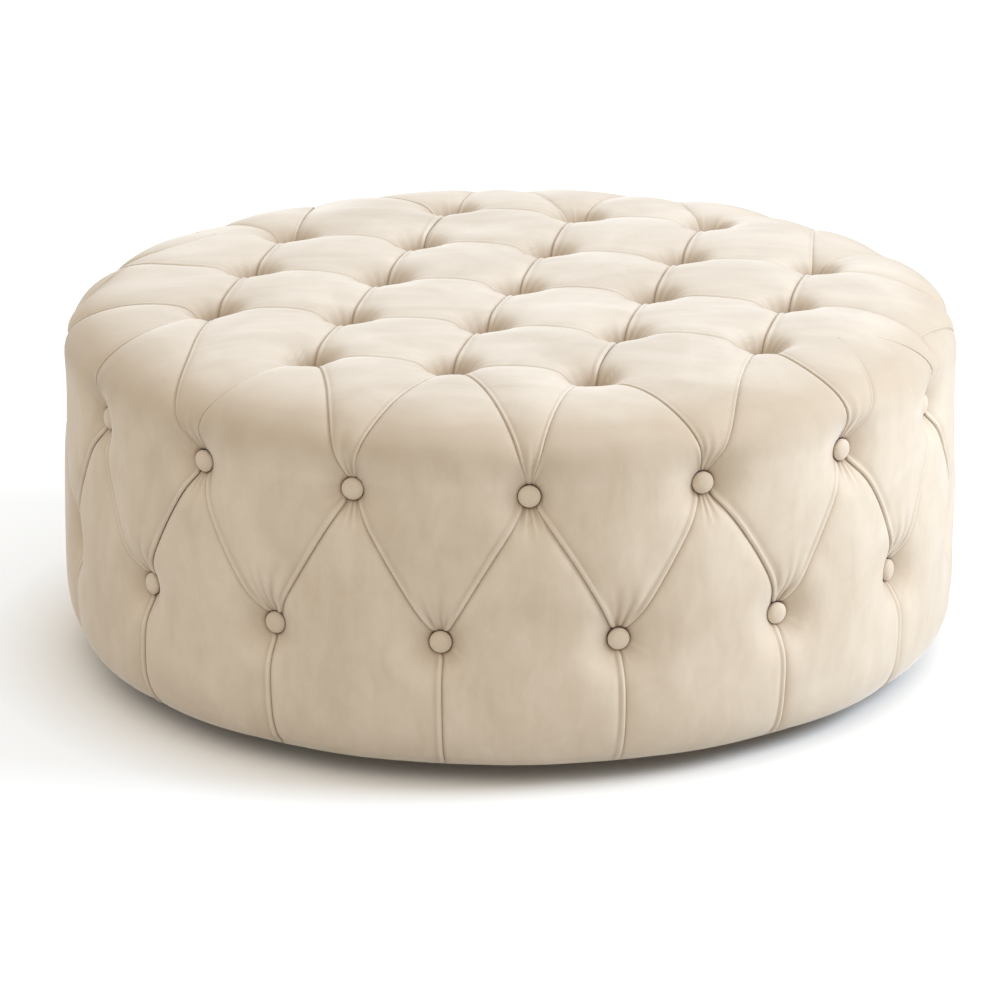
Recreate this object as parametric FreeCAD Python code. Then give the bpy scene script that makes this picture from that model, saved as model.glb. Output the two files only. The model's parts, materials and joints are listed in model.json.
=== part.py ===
import FreeCAD, Part
import math
import os

# Round deep-buttoned ottoman with a hidden storage bin.  Millimetres, +Z up,
# origin on the floor under the centre, front towards -Y.
#
# It comes apart in two: a low round base that carries the bin, and the padded
# drum, which is a hood that lifts straight up off the base.

V = FreeCAD.Vector
UP = V(0, 0, 1)
DOWN = V(0, 0, -1)

# ---- the padded drum, outside -------------------------------------------------
DRUM_D = 1016.0          # over the widest pillows
DRUM_H = 402.0           # hem to crown
HEM_GAP = 22.0           # floor to hem
SHOULDER_W = 210.0       # width of the rounded shoulder, seen from above
SHOULDER_H = 47.0        # how far the shoulder falls
HEM_TUCK = 18.0          # how far the side turns in at the hem
HEM_CURVE_H = 70.0       # height of that turn
HEM_BULGE_IN = 0.3       # middle of the turn, as a share of its depth
HEM_BULGE_UP = 0.35      # and of its height

# ---- buttoning ----------------------------------------------------------------
TUFT_PITCH = 157.5       # square pattern of the top buttons
TUFT_TURN = -13.65       # the pattern is turned by this many degrees
TUFT_OFF_X = 8.6         # the middle button lies this far off the drum's axis,
TUFT_OFF_Y = 3.8         # as the pattern was marked out by hand
TUFT_REACH = 2           # rows of buttons on each side of the middle one
ROW_BUTTONS = 16         # buttons in each of the two side rows
ROW_TURN = 2.24          # first side button, in degrees from the front
UPPER_ROW_DROP = 93.0    # crown to upper side row
ROW_SPACING = 166.0      # upper to lower side row
BUTTON_D = 25.0
BUTTON_EDGE = 4.0        # straight edge of a covered button
BUTTON_DOME = 5.0        # rise of its dome
BUTTON_ROUND = 1.0       # rounding at its back edge
SEAT_FIT = 1.0           # cloth round a button, at its seat
TOP_SEAT_DEPTH = 30.0    # crown to the back of a top button
SIDE_SEAT_DEPTH = 20.0   # widest pillow to the back of a side button
TOP_MOUTH_D = 92.0       # dimple at the surface, top
SIDE_MOUTH_D = 80.0      # dimple at the surface, side
PLEAT_R = 9.0            # round bottom of a pleat valley
PLEAT_DEPTH = 7.0
TWINE_D = 2.0
TWINE_KNOT_D = 4.0
TWINE_FIT = 0.5          # room round the twine in the cloth
TOGGLE_D = 14.0
TOGGLE_T = 4.0
TWINE_HOLE_D = 6.0       # drilled in foam and board

# ---- padding ------------------------------------------------------------------
TOP_PAD = 52.0           # crown to deck
SIDE_PAD = 46.0          # widest pillow to hood wall
COVER_T = 12.0           # velvet with its fibre wadding
HEM_COVER_T = 4.0        # the same, pulled tight at the hem
FOLD_T = 2.0             # velvet folded under the hem ring
FOLD_PAST_WALL = 5.0     # the fold ends this far inside the wall's outer face
SOFT_FIT = 0.3           # between curved soft faces
TAPE_T = 1.0             # tape over the raw edge of the fold
TAPE_W = 15.0

# ---- hood frame ---------------------------------------------------------------
WALL_T = 9.0             # bent plywood
DECK_T = 15.0
RAIL_W = 45.0            # top rail and landing ring
TOP_RAIL_T = 12.0
LANDING_T = 18.0
HEM_RING_W = 23.0
HEM_RING_T = 12.0
UPRIGHTS = 8
UPRIGHT_W = 40.0
SEAM_STEP = 7            # the wall's seam, in steps of the side buttons
SEAM_GAP = 1.0
HOOD_BATTEN_W = 50.0
HOOD_BATTEN_T = 12.0
GLUE_FIT = 0.3           # between glued curved faces
LINING_T = 1.5
LINING_DROP = 12.0       # deck to the lining's ceiling

# ---- base and bin -------------------------------------------------------------
BOARD_T = 15.0
BOARD_FIT = 9.0          # base board to hood wall, all round
LANDING_FELT_T = 3.0
LANDING_FELT_W = 32.0
BIN_D = 752.0
BIN_WALL_T = 6.0
BIN_H = 287.0            # base board to the top of the bin wall
BIN_RING_W = 30.0
BIN_RING_T = 18.0
BIN_FLOOR_T = 6.0
BIN_FLOOR_FIT = 0.8
BIN_MAT_T = 3.0
BIN_LINING_T = 1.5
BINDING_T = 1.9          # leather rim binding
BINDING_TOP = 5.0
BINDING_LEG = 15.0
BIN_BATTEN_W = 50.0
BIN_BATTEN_T = 10.0
BIN_BATTEN_AT = 90.0
GUIDES = 6               # blocks that centre the hood as it comes down
GUIDE_W = 60.0
GUIDE_H = 40.0
GUIDE_FIT = 4.0          # guide block to the hood's lining
GUIDE_T = 20.0
GUIDE_BEVEL = 6.0
FEET = 6                 # on a ring, and one more in the middle
FEET_RING_D = 660.0
FOOT_D = 50.0
FOOT_TAPER = 3.0         # how much smaller its radius is below
FOOT_H = 23.0
FOOT_BORE_D = 12.0
FOOT_BORE_H = 8.0
FOOT_HOLE_D = 5.2
PAD_T = 3.0
PAD_RIM = 2.0            # foot left bare round its pad

# ---- screws -------------------------------------------------------------------
SCREW_D = 4.0
SCREW_HEAD_D = 8.0
SCREW_HEAD_H = 2.4
SCREW_TIP = 4.0
SCREW_DRIVE = 2.4        # square drive
SCREW_FIT = 0.1
BOARD_SCREW_L = 30.0
WALL_SCREW_L = 30.0
HEM_SCREW_L = 25.0
DECK_SCREW_L = 25.0
UPRIGHT_SCREW_L = 50.0
FOOT_SCREW_L = 25.0
BOARD_SCREWS = 8         # into the bin's ring
GUIDE_SCREW_GAP = 36.0   # between the two screws of a guide block

# ---- worked out ---------------------------------------------------------------
DRUM_R = DRUM_D / 2
CROWN = HEM_GAP + DRUM_H
SHOULDER_LOW = CROWN - SHOULDER_H
HEM_R = DRUM_R - HEM_TUCK
FOLD_TOP = HEM_GAP + FOLD_T
UPPER_ROW = CROWN - UPPER_ROW_DROP
LOWER_ROW = UPPER_ROW - ROW_SPACING
ROW_STEP = 360.0 / ROW_BUTTONS

WALL_R = DRUM_R - SIDE_PAD
WALL_IN = WALL_R - WALL_T
DECK_TOP = CROWN - TOP_PAD
DECK_LOW = DECK_TOP - DECK_T
RAIL_IN = WALL_IN - RAIL_W
RAIL_MID = WALL_IN - RAIL_W / 2
RAIL_LOW = DECK_LOW - TOP_RAIL_T
HEM_RING_R = WALL_R + HEM_RING_W
HEM_RING_TOP = FOLD_TOP + HEM_RING_T

BOARD_LOW = PAD_T + FOOT_H
BOARD_TOP = BOARD_LOW + BOARD_T
BOARD_R = WALL_IN - BOARD_FIT
LANDING_LOW = BOARD_TOP + LANDING_FELT_T
LANDING_TOP = LANDING_LOW + LANDING_T
BIN_R = BIN_D / 2
BIN_IN = BIN_R - BIN_WALL_T
BIN_TOP = BOARD_TOP + BIN_H
BIN_RING_IN = BIN_IN - BIN_RING_W
BIN_FLOOR_LOW = BOARD_TOP + BIN_RING_T
BIN_FLOOR_TOP = BIN_FLOOR_LOW + BIN_FLOOR_T
BIN_LINING_IN = BIN_IN - SOFT_FIT - BIN_LINING_T
LINING_R = RAIL_IN - SOFT_FIT
CEILING = DECK_LOW - LINING_DROP
GUIDE_OUT = LINING_R - LINING_T - GUIDE_FIT

BIG = 2 * DRUM_D         # larger than the whole ottoman


# ---- plain solids -------------------------------------------------------------
def polar(radius, angle, z=0.0):
    """Point at a radius and an angle in degrees, at height z."""
    turn = math.radians(angle)
    return V(radius * math.cos(turn), radius * math.sin(turn), z)


def disc(radius, low, high):
    return Part.makeCylinder(radius, high - low, V(0, 0, low))


def ring(inner, outer, low, high):
    return disc(outer, low, high).cut(disc(inner, low, high))


def spun(edges):
    """Solid made by turning a closed outline in the XZ plane about Z."""
    outline = Part.Face(Part.Wire(Part.__sortEdges__(edges)))
    return outline.revolve(V(0, 0, 0), UP, 360)


def lines(points):
    """Straight edges through points given as (radius, height)."""
    corners = [V(x, 0, z) for x, z in points]
    return [Part.makeLine(a, b) for a, b in zip(corners, corners[1:])]


def arc(start, middle, end):
    """Arc edge through three (radius, height) points."""
    return Part.Arc(*[V(x, 0, z) for x, z in (start, middle, end)]).toShape()


def slab(angle, width, inner, outer, low, high):
    """Box that reaches outwards at an angle."""
    box = Part.makeBox(outer - inner, width, high - low, V(inner, -width / 2, low))
    return box.rotate(V(0, 0, 0), UP, angle)


def curved_block(inner, outer, low, high, angle, width):
    """Block with curved inner and outer faces, as cut from a ring."""
    return ring(inner, outer, low, high).common(
        slab(angle, width, inner / 2, outer + width, low, high))


def placed(solid, base, direction):
    """Copy of a solid built along +Z, moved to base and turned to direction."""
    copy = solid.copy()
    copy.Placement = FreeCAD.Placement(base, FreeCAD.Rotation(UP, direction))
    return copy


def group(solid, places):
    return Part.makeCompound([placed(solid, base, direction) for base, direction in places])


def rod(start, end, radius):
    return Part.makeCylinder(radius, (end - start).Length, start, end - start)


# ---- screws -------------------------------------------------------------------
def screw_body(length, fit=0.0):
    """Countersunk screw, head at z = 0 and shank upwards, grown by fit."""
    shank = SCREW_D / 2 + fit
    end = length + fit
    return spun(lines([(0, 0), (SCREW_HEAD_D / 2 + fit, 0), (shank, SCREW_HEAD_H + fit),
                       (shank, end - SCREW_TIP), (shank / 4, end), (0, end), (0, 0)]))


def screw(length):
    half = SCREW_DRIVE / 2
    drive = Part.makeBox(SCREW_DRIVE, SCREW_DRIVE, SCREW_DRIVE, V(-half, -half, 0))
    return screw_body(length).cut(drive)


def drilled(solid, places, length):
    """The solid with countersunk holes for screws."""
    hole = screw_body(length, SCREW_FIT)
    return solid.cut([placed(hole, base, direction) for base, direction in places])


def around(count, radius, z, start=0.0):
    """Points evenly round the middle, with their angles."""
    angles = [start + 360.0 * k / count for k in range(count)]
    return [(polar(radius, angle, z), angle) for angle in angles]


# ---- buttons and pleats -------------------------------------------------------
def tuft_point(m, n, z):
    """Point of the top's square pattern, m and n steps from the middle."""
    along = polar(TUFT_PITCH, TUFT_TURN)
    across = polar(TUFT_PITCH, TUFT_TURN + 90)
    return along * m + across * n + V(TUFT_OFF_X, TUFT_OFF_Y, z)


def tuft_steps():
    """The square pattern without its four corners."""
    span = range(-TUFT_REACH, TUFT_REACH + 1)
    return [(m, n) for m in span for n in span if abs(m) + abs(n) < 2 * TUFT_REACH]


def row_angle(step):
    """Angle of a side button; the lower row lies at half steps."""
    return -90 + ROW_TURN + ROW_STEP * step


def row_point(step, z, radius):
    return polar(radius, row_angle(step), z)


def top_seats():
    z = CROWN - TOP_SEAT_DEPTH
    return [(tuft_point(m, n, z), UP) for m, n in tuft_steps()]


def side_seats(z, shift):
    steps = [k + shift for k in range(ROW_BUTTONS)]
    radius = DRUM_R - SIDE_SEAT_DEPTH
    return [(row_point(s, z, radius), row_point(s, 0, 1)) for s in steps]


TOP_SEATS = top_seats()
UPPER_SEATS = side_seats(UPPER_ROW, 0.0)
LOWER_SEATS = side_seats(LOWER_ROW, 0.5)
SIDE_SEATS = UPPER_SEATS + LOWER_SEATS


def dimple(depth, mouth, inset):
    """Cone that opens a button's dimple, its seat at z = -inset."""
    seat = BUTTON_D / 2 + SEAT_FIT
    slope = (mouth / 2 - seat) / depth
    seat += inset * (math.hypot(1, slope) - slope)
    height = depth + inset + BUTTON_D / 2
    return Part.makeCone(seat, seat + slope * height, height, V(0, 0, -inset))


def dimpled(solid, inset):
    """The solid with all its button dimples, for a skin that lies inset deep."""
    top = dimple(TOP_SEAT_DEPTH, TOP_MOUTH_D, inset)
    side = dimple(SIDE_SEAT_DEPTH, SIDE_MOUTH_D, inset)
    for cone, seats in ((top, TOP_SEATS), (side, UPPER_SEATS), (side, LOWER_SEATS)):
        solid = solid.cut([placed(cone, base, direction) for base, direction in seats])
    return solid


def drum(inset, low, hem_r):
    """The drum's plain round form, inset from the outside, down to a level."""
    radius = DRUM_R - inset
    top = CROWN - inset
    shoulder_low = SHOULDER_LOW - inset / 2
    start = (radius - SHOULDER_W + inset, top)
    side = (radius, HEM_GAP + HEM_CURVE_H)
    hem = (hem_r, low)
    bulge = (radius - (radius - hem_r) * HEM_BULGE_IN, low + (side[1] - low) * HEM_BULGE_UP)
    ellipse = Part.Ellipse(V(radius, 0, shoulder_low), V(start[0], 0, top),
                           V(start[0], 0, shoulder_low))
    shoulder = ellipse.toShape(0, math.pi / 2)
    return spun(lines([(0, top), start]) + [shoulder]
                + lines([(radius, shoulder_low), side]) + [arc(side, bulge, hem)]
                + lines([hem, (0, low), (0, top)]))


def top_pleats(turned):
    """Straight valleys between the top buttons, along one way of the pattern."""
    z = CROWN + PLEAT_R - PLEAT_DEPTH
    valleys = []
    for n in range(-TUFT_REACH, TUFT_REACH + 1):
        reach = TUFT_REACH if abs(n) < TUFT_REACH else TUFT_REACH - 1
        ends = [(n, -reach), (n, reach)] if turned else [(-reach, n), (reach, n)]
        valleys.append(rod(tuft_point(*ends[0], z), tuft_point(*ends[1], z), PLEAT_R))
    return valleys


def side_pleats(shift):
    """Slanting valleys between the two side rows, leaning one way."""
    radius = DRUM_R + PLEAT_R - PLEAT_DEPTH
    return [rod(row_point(k, UPPER_ROW, radius), row_point(k + shift, LOWER_ROW, radius), PLEAT_R)
            for k in range(ROW_BUTTONS)]


def hem_pleats():
    """Upright valleys from the lower buttons to the hem."""
    radius = DRUM_R + PLEAT_R - PLEAT_DEPTH
    return [rod(row_point(k + 0.5, LOWER_ROW, radius),
                row_point(k + 0.5, HEM_GAP - PLEAT_R, radius), PLEAT_R)
            for k in range(ROW_BUTTONS)]


def top_twine_holes(diameter):
    """Holes for the top twines, through everything that they pass."""
    deep = TOP_PAD - TOP_SEAT_DEPTH + DECK_T + TOP_RAIL_T
    down = rod(V(0, 0, 0), V(0, 0, -deep), diameter / 2)
    return [placed(down, base, way) for base, way in TOP_SEATS]


def side_twine_holes(diameter):
    deep = SIDE_PAD - SIDE_SEAT_DEPTH + WALL_T + RAIL_W
    inwards = rod(V(0, 0, 0), V(0, 0, -deep), diameter / 2)
    return [placed(inwards, base, way) for base, way in SIDE_SEATS]


def twine_holes(diameter):
    return top_twine_holes(diameter) + side_twine_holes(diameter)


def button():
    """Covered button, its flat back at z = 0."""
    radius = BUTTON_D / 2
    dome_r = (radius ** 2 + BUTTON_DOME ** 2) / (2 * BUTTON_DOME)
    top = BUTTON_EDGE + BUTTON_DOME
    half = radius / 2
    middle = (half, top - dome_r + math.sqrt(dome_r ** 2 - half ** 2))
    edge = BUTTON_ROUND * (1 - math.sqrt(0.5))
    return spun(lines([(0, top), (0, 0), (radius - BUTTON_ROUND, 0)])
                + [arc((radius - BUTTON_ROUND, 0), (radius - edge, edge), (radius, BUTTON_ROUND))]
                + lines([(radius, BUTTON_ROUND), (radius, BUTTON_EDGE)])
                + [arc((radius, BUTTON_EDGE), middle, (0, top))])


def toggle():
    """Round toggle that the twine is tied over, its bearing face at z = 0."""
    hole = TWINE_D / 2 + TWINE_FIT
    return spun(lines([(hole, 0), (TOGGLE_D / 2, 0), (TOGGLE_D / 2, -TOGGLE_T),
                       (hole, -TOGGLE_T), (hole, 0)]))


def twine(length):
    """Twine from a button's back at z = 0 down to its knot behind the toggle."""
    knot = Part.makeSphere(TWINE_KNOT_D / 2, V(0, 0, -length - TWINE_KNOT_D / 2))
    return rod(V(0, 0, 0), V(0, 0, -length - TWINE_KNOT_D / 2), TWINE_D / 2).fuse(knot)


# ---- the padded drum ----------------------------------------------------------
def cover_skin():
    """The whole buttoned cover, folded in under the hem ring."""
    outside = dimpled(drum(0.0, HEM_GAP, HEM_R), 0.0)
    for valleys in (top_pleats(False), top_pleats(True), side_pleats(0.5),
                    side_pleats(-0.5), hem_pleats()):
        outside = outside.cut(valleys)
    inside = dimpled(drum(COVER_T, FOLD_TOP, HEM_R - HEM_COVER_T), COVER_T)
    skin = outside.cut(inside)
    skin = skin.cut(disc(WALL_R - FOLD_PAST_WALL, 0, HEM_RING_TOP))
    return skin.cut(twine_holes(TWINE_D + 2 * TWINE_FIT))


def sector(angle, step, low, high):
    """Wedge about Z that starts at an angle and is a step wide."""
    wedge = Part.makeCylinder(BIG, high - low, V(0, 0, low), UP, step)
    return wedge.rotate(V(0, 0, 0), UP, angle)


def cover_top(skin):
    return skin.cut(disc(BIG, 0, SHOULDER_LOW))


def cover_panels(skin):
    """The cover's side, in panels joined inside the hem pleats."""
    return Part.makeCompound(
        [skin.common(sector(row_angle(k + 0.5), ROW_STEP, 0, SHOULDER_LOW))
         for k in range(ROW_BUTTONS)])


def foam_block():
    """All the foam over the frame, as one block, standing on the hem ring."""
    inset = COVER_T + SOFT_FIT
    block = dimpled(drum(inset, FOLD_TOP, HEM_R - HEM_COVER_T - SOFT_FIT), inset)
    block = block.cut(disc(BIG, 0, HEM_RING_TOP))
    block = block.cut(disc(WALL_R + GLUE_FIT, 0, DECK_TOP))
    return block.cut(twine_holes(TWINE_HOLE_D))


def hem_tape():
    inner = WALL_R - FOLD_PAST_WALL
    return ring(inner, inner + TAPE_W, HEM_GAP - TAPE_T, HEM_GAP)


# ---- the hood's frame ---------------------------------------------------------
UPRIGHT_ANGLES = [row_angle(0.25) + 360.0 * k / UPRIGHTS for k in range(UPRIGHTS)]
SEAM_ANGLE = row_angle(SEAM_STEP + 0.25)
INTO_WALL = [(row_point(k + 0.5, 0, WALL_R), row_point(k + 0.5, 0, -1))
             for k in range(ROW_BUTTONS)]


def wall_screw_places():
    heights = ((LANDING_LOW + LANDING_TOP) / 2, (RAIL_LOW + DECK_LOW) / 2)
    return [(base + V(0, 0, z), way) for z in heights for base, way in INTO_WALL]


def hem_screw_places():
    z = (FOLD_TOP + HEM_RING_TOP) / 2
    return [(row_point(k, z, WALL_IN), row_point(k, 0, 1)) for k in range(ROW_BUTTONS)]


def deck_screw_places():
    return [(row_point(k, DECK_TOP, RAIL_MID), DOWN) for k in range(ROW_BUTTONS)]


def upright_screw_places():
    above = [(polar(RAIL_MID, angle, DECK_TOP), DOWN) for angle in UPRIGHT_ANGLES]
    below = [(polar(RAIL_MID, angle, LANDING_LOW), UP) for angle in UPRIGHT_ANGLES]
    return above + below


def hood_wall():
    wall = ring(WALL_IN, WALL_R, FOLD_TOP, DECK_LOW)
    wall = wall.cut(slab(SEAM_ANGLE, SEAM_GAP, RAIL_IN, DRUM_R, 0, DECK_TOP))
    wall = drilled(wall, wall_screw_places(), WALL_SCREW_L)
    wall = drilled(wall, hem_screw_places(), HEM_SCREW_L)
    return wall.cut(side_twine_holes(TWINE_HOLE_D))


def hood_deck():
    deck = drilled(disc(WALL_R, DECK_LOW, DECK_TOP), deck_screw_places(), DECK_SCREW_L)
    deck = drilled(deck, upright_screw_places(), UPRIGHT_SCREW_L)
    return deck.cut(top_twine_holes(TWINE_HOLE_D))


def rail(low, high):
    """Ring inside the wall, drilled for every screw and twine that meets it."""
    hoop = ring(RAIL_IN, WALL_IN - GLUE_FIT, low, high)
    hoop = drilled(hoop, wall_screw_places(), WALL_SCREW_L)
    hoop = drilled(hoop, deck_screw_places(), DECK_SCREW_L)
    hoop = drilled(hoop, upright_screw_places(), UPRIGHT_SCREW_L)
    return hoop.cut(twine_holes(TWINE_HOLE_D))


def hem_ring():
    hoop = ring(WALL_R + GLUE_FIT, HEM_RING_R, FOLD_TOP, HEM_RING_TOP)
    return drilled(hoop, hem_screw_places(), HEM_SCREW_L)


def uprights():
    posts = [curved_block(RAIL_IN, WALL_IN - GLUE_FIT, LANDING_TOP, RAIL_LOW, angle, UPRIGHT_W)
             for angle in UPRIGHT_ANGLES]
    return Part.makeCompound(
        [drilled(post, upright_screw_places(), UPRIGHT_SCREW_L) for post in posts])


def hood_seam_batten():
    outer = WALL_IN - GLUE_FIT
    return curved_block(outer - HOOD_BATTEN_T, outer, LANDING_TOP, RAIL_LOW,
                        SEAM_ANGLE, HOOD_BATTEN_W)


def hood_lining():
    """Cloth down the inside of the rings, in panels joined on the uprights."""
    step = 360.0 / UPRIGHTS
    curtain = ring(LINING_R - LINING_T, LINING_R, LANDING_LOW, DECK_LOW)
    return Part.makeCompound(
        [curtain.common(sector(angle, step, LANDING_LOW, DECK_LOW)) for angle in UPRIGHT_ANGLES])


def hood_ceiling():
    """Round of cloth under the deck, sewn to the lining all round."""
    return disc(LINING_R - LINING_T, CEILING - LINING_T, CEILING)


# ---- base and bin -------------------------------------------------------------
def foot_places(z):
    points = [point for point, _ in around(FEET, FEET_RING_D / 2, z, 180.0 / FEET)]
    return [(point, UP) for point in points + [V(0, 0, z)]]


def guide_angles():
    return [360.0 * k / GUIDES for k in range(GUIDES)]


def guide_screw_places():
    radius = GUIDE_OUT - GUIDE_T / 2
    swing = math.degrees(GUIDE_SCREW_GAP / 2 / radius)
    return [(polar(radius, angle + side * swing, BOARD_LOW), UP)
            for angle in guide_angles() for side in (-1, 1)]


def ring_screw_places():
    radius = (BIN_RING_IN + BIN_IN) / 2
    start = 180.0 / BOARD_SCREWS
    return [(point, UP) for point, _ in around(BOARD_SCREWS, radius, BOARD_LOW, start)]


BOARD_SCREW_PLACES = ring_screw_places() + guide_screw_places()


def base_board():
    board = drilled(disc(BOARD_R, BOARD_LOW, BOARD_TOP), BOARD_SCREW_PLACES, BOARD_SCREW_L)
    shank = rod(V(0, 0, 0), V(0, 0, FOOT_SCREW_L - FOOT_H + FOOT_BORE_H + 1),
                SCREW_D / 2 + SCREW_FIT)
    return board.cut([placed(shank, base, way) for base, way in foot_places(BOARD_LOW)])


def foot():
    """Turned foot from z = 0, bored below for its screw."""
    body = Part.makeCone(FOOT_D / 2 - FOOT_TAPER, FOOT_D / 2, FOOT_H)
    body = body.cut(Part.makeCylinder(FOOT_BORE_D / 2, FOOT_BORE_H))
    return body.cut(Part.makeCylinder(FOOT_HOLE_D / 2, FOOT_H))


def foot_screw():
    """Pan-head screw whose head bears on the foot's bore at z = 0."""
    head = Part.makeCylinder(SCREW_HEAD_D / 2, SCREW_HEAD_H, V(0, 0, -SCREW_HEAD_H))
    half = SCREW_DRIVE / 2
    drive = Part.makeBox(SCREW_DRIVE, SCREW_DRIVE, SCREW_HEAD_H / 2, V(-half, -half, -SCREW_HEAD_H))
    shank = Part.makeCylinder(SCREW_D / 2, FOOT_SCREW_L - SCREW_TIP)
    tip = Part.makeCone(SCREW_D / 2, SCREW_D / 8, SCREW_TIP, V(0, 0, FOOT_SCREW_L - SCREW_TIP))
    return head.cut(drive).fuse([shank, tip]).removeSplitter()


def bin_ring():
    hoop = ring(BIN_RING_IN, BIN_IN - GLUE_FIT, BOARD_TOP, BIN_FLOOR_LOW)
    return drilled(hoop, ring_screw_places(), BOARD_SCREW_L)


def rim_binding():
    """Folded strip over the top of the bin's wall and lining."""
    inner = BIN_LINING_IN - SOFT_FIT
    outer = BIN_R + SOFT_FIT
    low = BIN_TOP - BINDING_LEG + BINDING_TOP
    high = BIN_TOP + BINDING_TOP
    middle = ((inner + outer) / 2, high)
    shoulder = BIN_TOP + BINDING_TOP / 4
    left = inner - BINDING_T
    right = outer + BINDING_T
    return spun(lines([(right, shoulder), (right, low), (outer, low), (outer, BIN_TOP),
                       (inner, BIN_TOP), (inner, low), (left, low), (left, shoulder)])
                + [arc((left, shoulder), middle, (right, shoulder))])


def bin_seam_batten():
    inner = BIN_R + GLUE_FIT
    high = BIN_TOP - BINDING_LEG + BINDING_TOP
    return curved_block(inner, inner + BIN_BATTEN_T, BOARD_TOP, high, BIN_BATTEN_AT, BIN_BATTEN_W)


def guide_blocks():
    """Blocks with a bevelled outer top edge, screwed down from below."""
    top = BOARD_TOP + GUIDE_H
    inner = GUIDE_OUT - GUIDE_T
    outline = [(inner, BOARD_TOP), (GUIDE_OUT, BOARD_TOP), (GUIDE_OUT, top - 2 * GUIDE_BEVEL),
               (GUIDE_OUT - GUIDE_BEVEL, top), (inner, top), (inner, BOARD_TOP)]
    hoop = drilled(spun(lines(outline)), guide_screw_places(), BOARD_SCREW_L)
    return Part.makeCompound(
        [hoop.common(slab(angle, GUIDE_W, inner / 2, BIG, BOARD_TOP, top))
         for angle in guide_angles()])


# ---- all the nodes ------------------------------------------------------------
def build():
    foam = foam_block()
    skin = cover_skin()
    top_twine = twine(TOP_PAD - TOP_SEAT_DEPTH + DECK_T + TOGGLE_T)
    side_twine = twine(SIDE_PAD - SIDE_SEAT_DEPTH + WALL_T + TOGGLE_T + GLUE_FIT)
    top_backs = [(V(p.x, p.y, DECK_LOW), way) for p, way in TOP_SEATS]
    side_backs = [(way * (WALL_IN - GLUE_FIT) + V(0, 0, p.z), way) for p, way in SIDE_SEATS]
    felt_out = BOARD_R - SEAT_FIT
    return {
        "base_board": base_board(),
        "feet": group(foot(), foot_places(PAD_T)),
        "foot_pads": group(disc(FOOT_D / 2 - FOOT_TAPER - PAD_RIM, 0, PAD_T), foot_places(0)),
        "foot_screws": group(foot_screw(), foot_places(PAD_T + FOOT_BORE_H)),
        "landing_felt": ring(felt_out - LANDING_FELT_W, felt_out, BOARD_TOP, LANDING_LOW),
        "bin_wall": ring(BIN_IN, BIN_R, BOARD_TOP, BIN_TOP),
        "bin_ring": bin_ring(),
        "bin_seam_batten": bin_seam_batten(),
        "bin_floor": disc(BIN_IN - BIN_FLOOR_FIT, BIN_FLOOR_LOW, BIN_FLOOR_TOP),
        "bin_floor_mat": disc(BIN_LINING_IN - SOFT_FIT, BIN_FLOOR_TOP, BIN_FLOOR_TOP + BIN_MAT_T),
        "bin_lining": ring(BIN_LINING_IN, BIN_IN - SOFT_FIT, BIN_FLOOR_TOP, BIN_TOP),
        "bin_rim_binding": rim_binding(),
        "guide_blocks": guide_blocks(),
        "base_board_screws": group(screw(BOARD_SCREW_L), BOARD_SCREW_PLACES),
        "hood_wall": hood_wall(),
        "hood_seam_batten": hood_seam_batten(),
        "hood_deck": hood_deck(),
        "top_rail": rail(RAIL_LOW, DECK_LOW),
        "landing_ring": rail(LANDING_LOW, LANDING_TOP),
        "hem_ring": hem_ring(),
        "uprights": uprights(),
        "wall_screws": group(screw(WALL_SCREW_L), wall_screw_places()),
        "hem_ring_screws": group(screw(HEM_SCREW_L), hem_screw_places()),
        "deck_screws": group(screw(DECK_SCREW_L), deck_screw_places()),
        "upright_screws": group(screw(UPRIGHT_SCREW_L), upright_screw_places()),
        "hood_lining": hood_lining(),
        "hood_ceiling": hood_ceiling(),
        "top_foam": foam.cut(disc(BIG, 0, DECK_TOP)),
        "side_foam": foam.common(disc(BIG, 0, DECK_TOP)),
        "cover_top": cover_top(skin),
        "cover_panels": cover_panels(skin),
        "hem_tape": hem_tape(),
        "top_buttons": group(button(), TOP_SEATS),
        "upper_side_buttons": group(button(), UPPER_SEATS),
        "lower_side_buttons": group(button(), LOWER_SEATS),
        "top_twine": group(top_twine, TOP_SEATS),
        "side_twine": group(side_twine, SIDE_SEATS),
        "top_toggles": group(toggle(), top_backs),
        "side_toggles": group(toggle(), side_backs),
    }


os.makedirs("parts", exist_ok=True)
for name, shape in build().items():
    shape.exportStep("parts/" + name + ".step")
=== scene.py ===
import json
import math

import bmesh
import bpy
import numpy as np
from mathutils import Matrix, Vector


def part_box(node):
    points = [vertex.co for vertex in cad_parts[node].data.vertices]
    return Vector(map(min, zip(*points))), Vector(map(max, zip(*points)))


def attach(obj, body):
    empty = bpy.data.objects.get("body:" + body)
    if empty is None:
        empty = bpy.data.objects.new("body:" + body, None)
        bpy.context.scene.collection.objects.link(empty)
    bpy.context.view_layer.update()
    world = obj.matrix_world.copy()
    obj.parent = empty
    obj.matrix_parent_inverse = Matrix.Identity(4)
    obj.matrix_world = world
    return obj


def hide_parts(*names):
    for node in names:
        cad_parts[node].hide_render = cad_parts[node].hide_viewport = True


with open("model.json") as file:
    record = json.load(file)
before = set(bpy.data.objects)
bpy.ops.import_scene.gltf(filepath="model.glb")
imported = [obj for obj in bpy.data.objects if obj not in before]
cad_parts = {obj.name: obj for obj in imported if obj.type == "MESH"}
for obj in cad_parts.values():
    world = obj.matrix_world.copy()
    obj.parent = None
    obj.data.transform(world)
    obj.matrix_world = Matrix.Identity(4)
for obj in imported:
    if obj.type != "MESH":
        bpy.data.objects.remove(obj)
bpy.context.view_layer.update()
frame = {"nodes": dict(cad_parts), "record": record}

# Round deep-buttoned ottoman: velvet cover with its padding, covered buttons,
# the plywood hood under them, and the base with its storage bin.  Metres.

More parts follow.
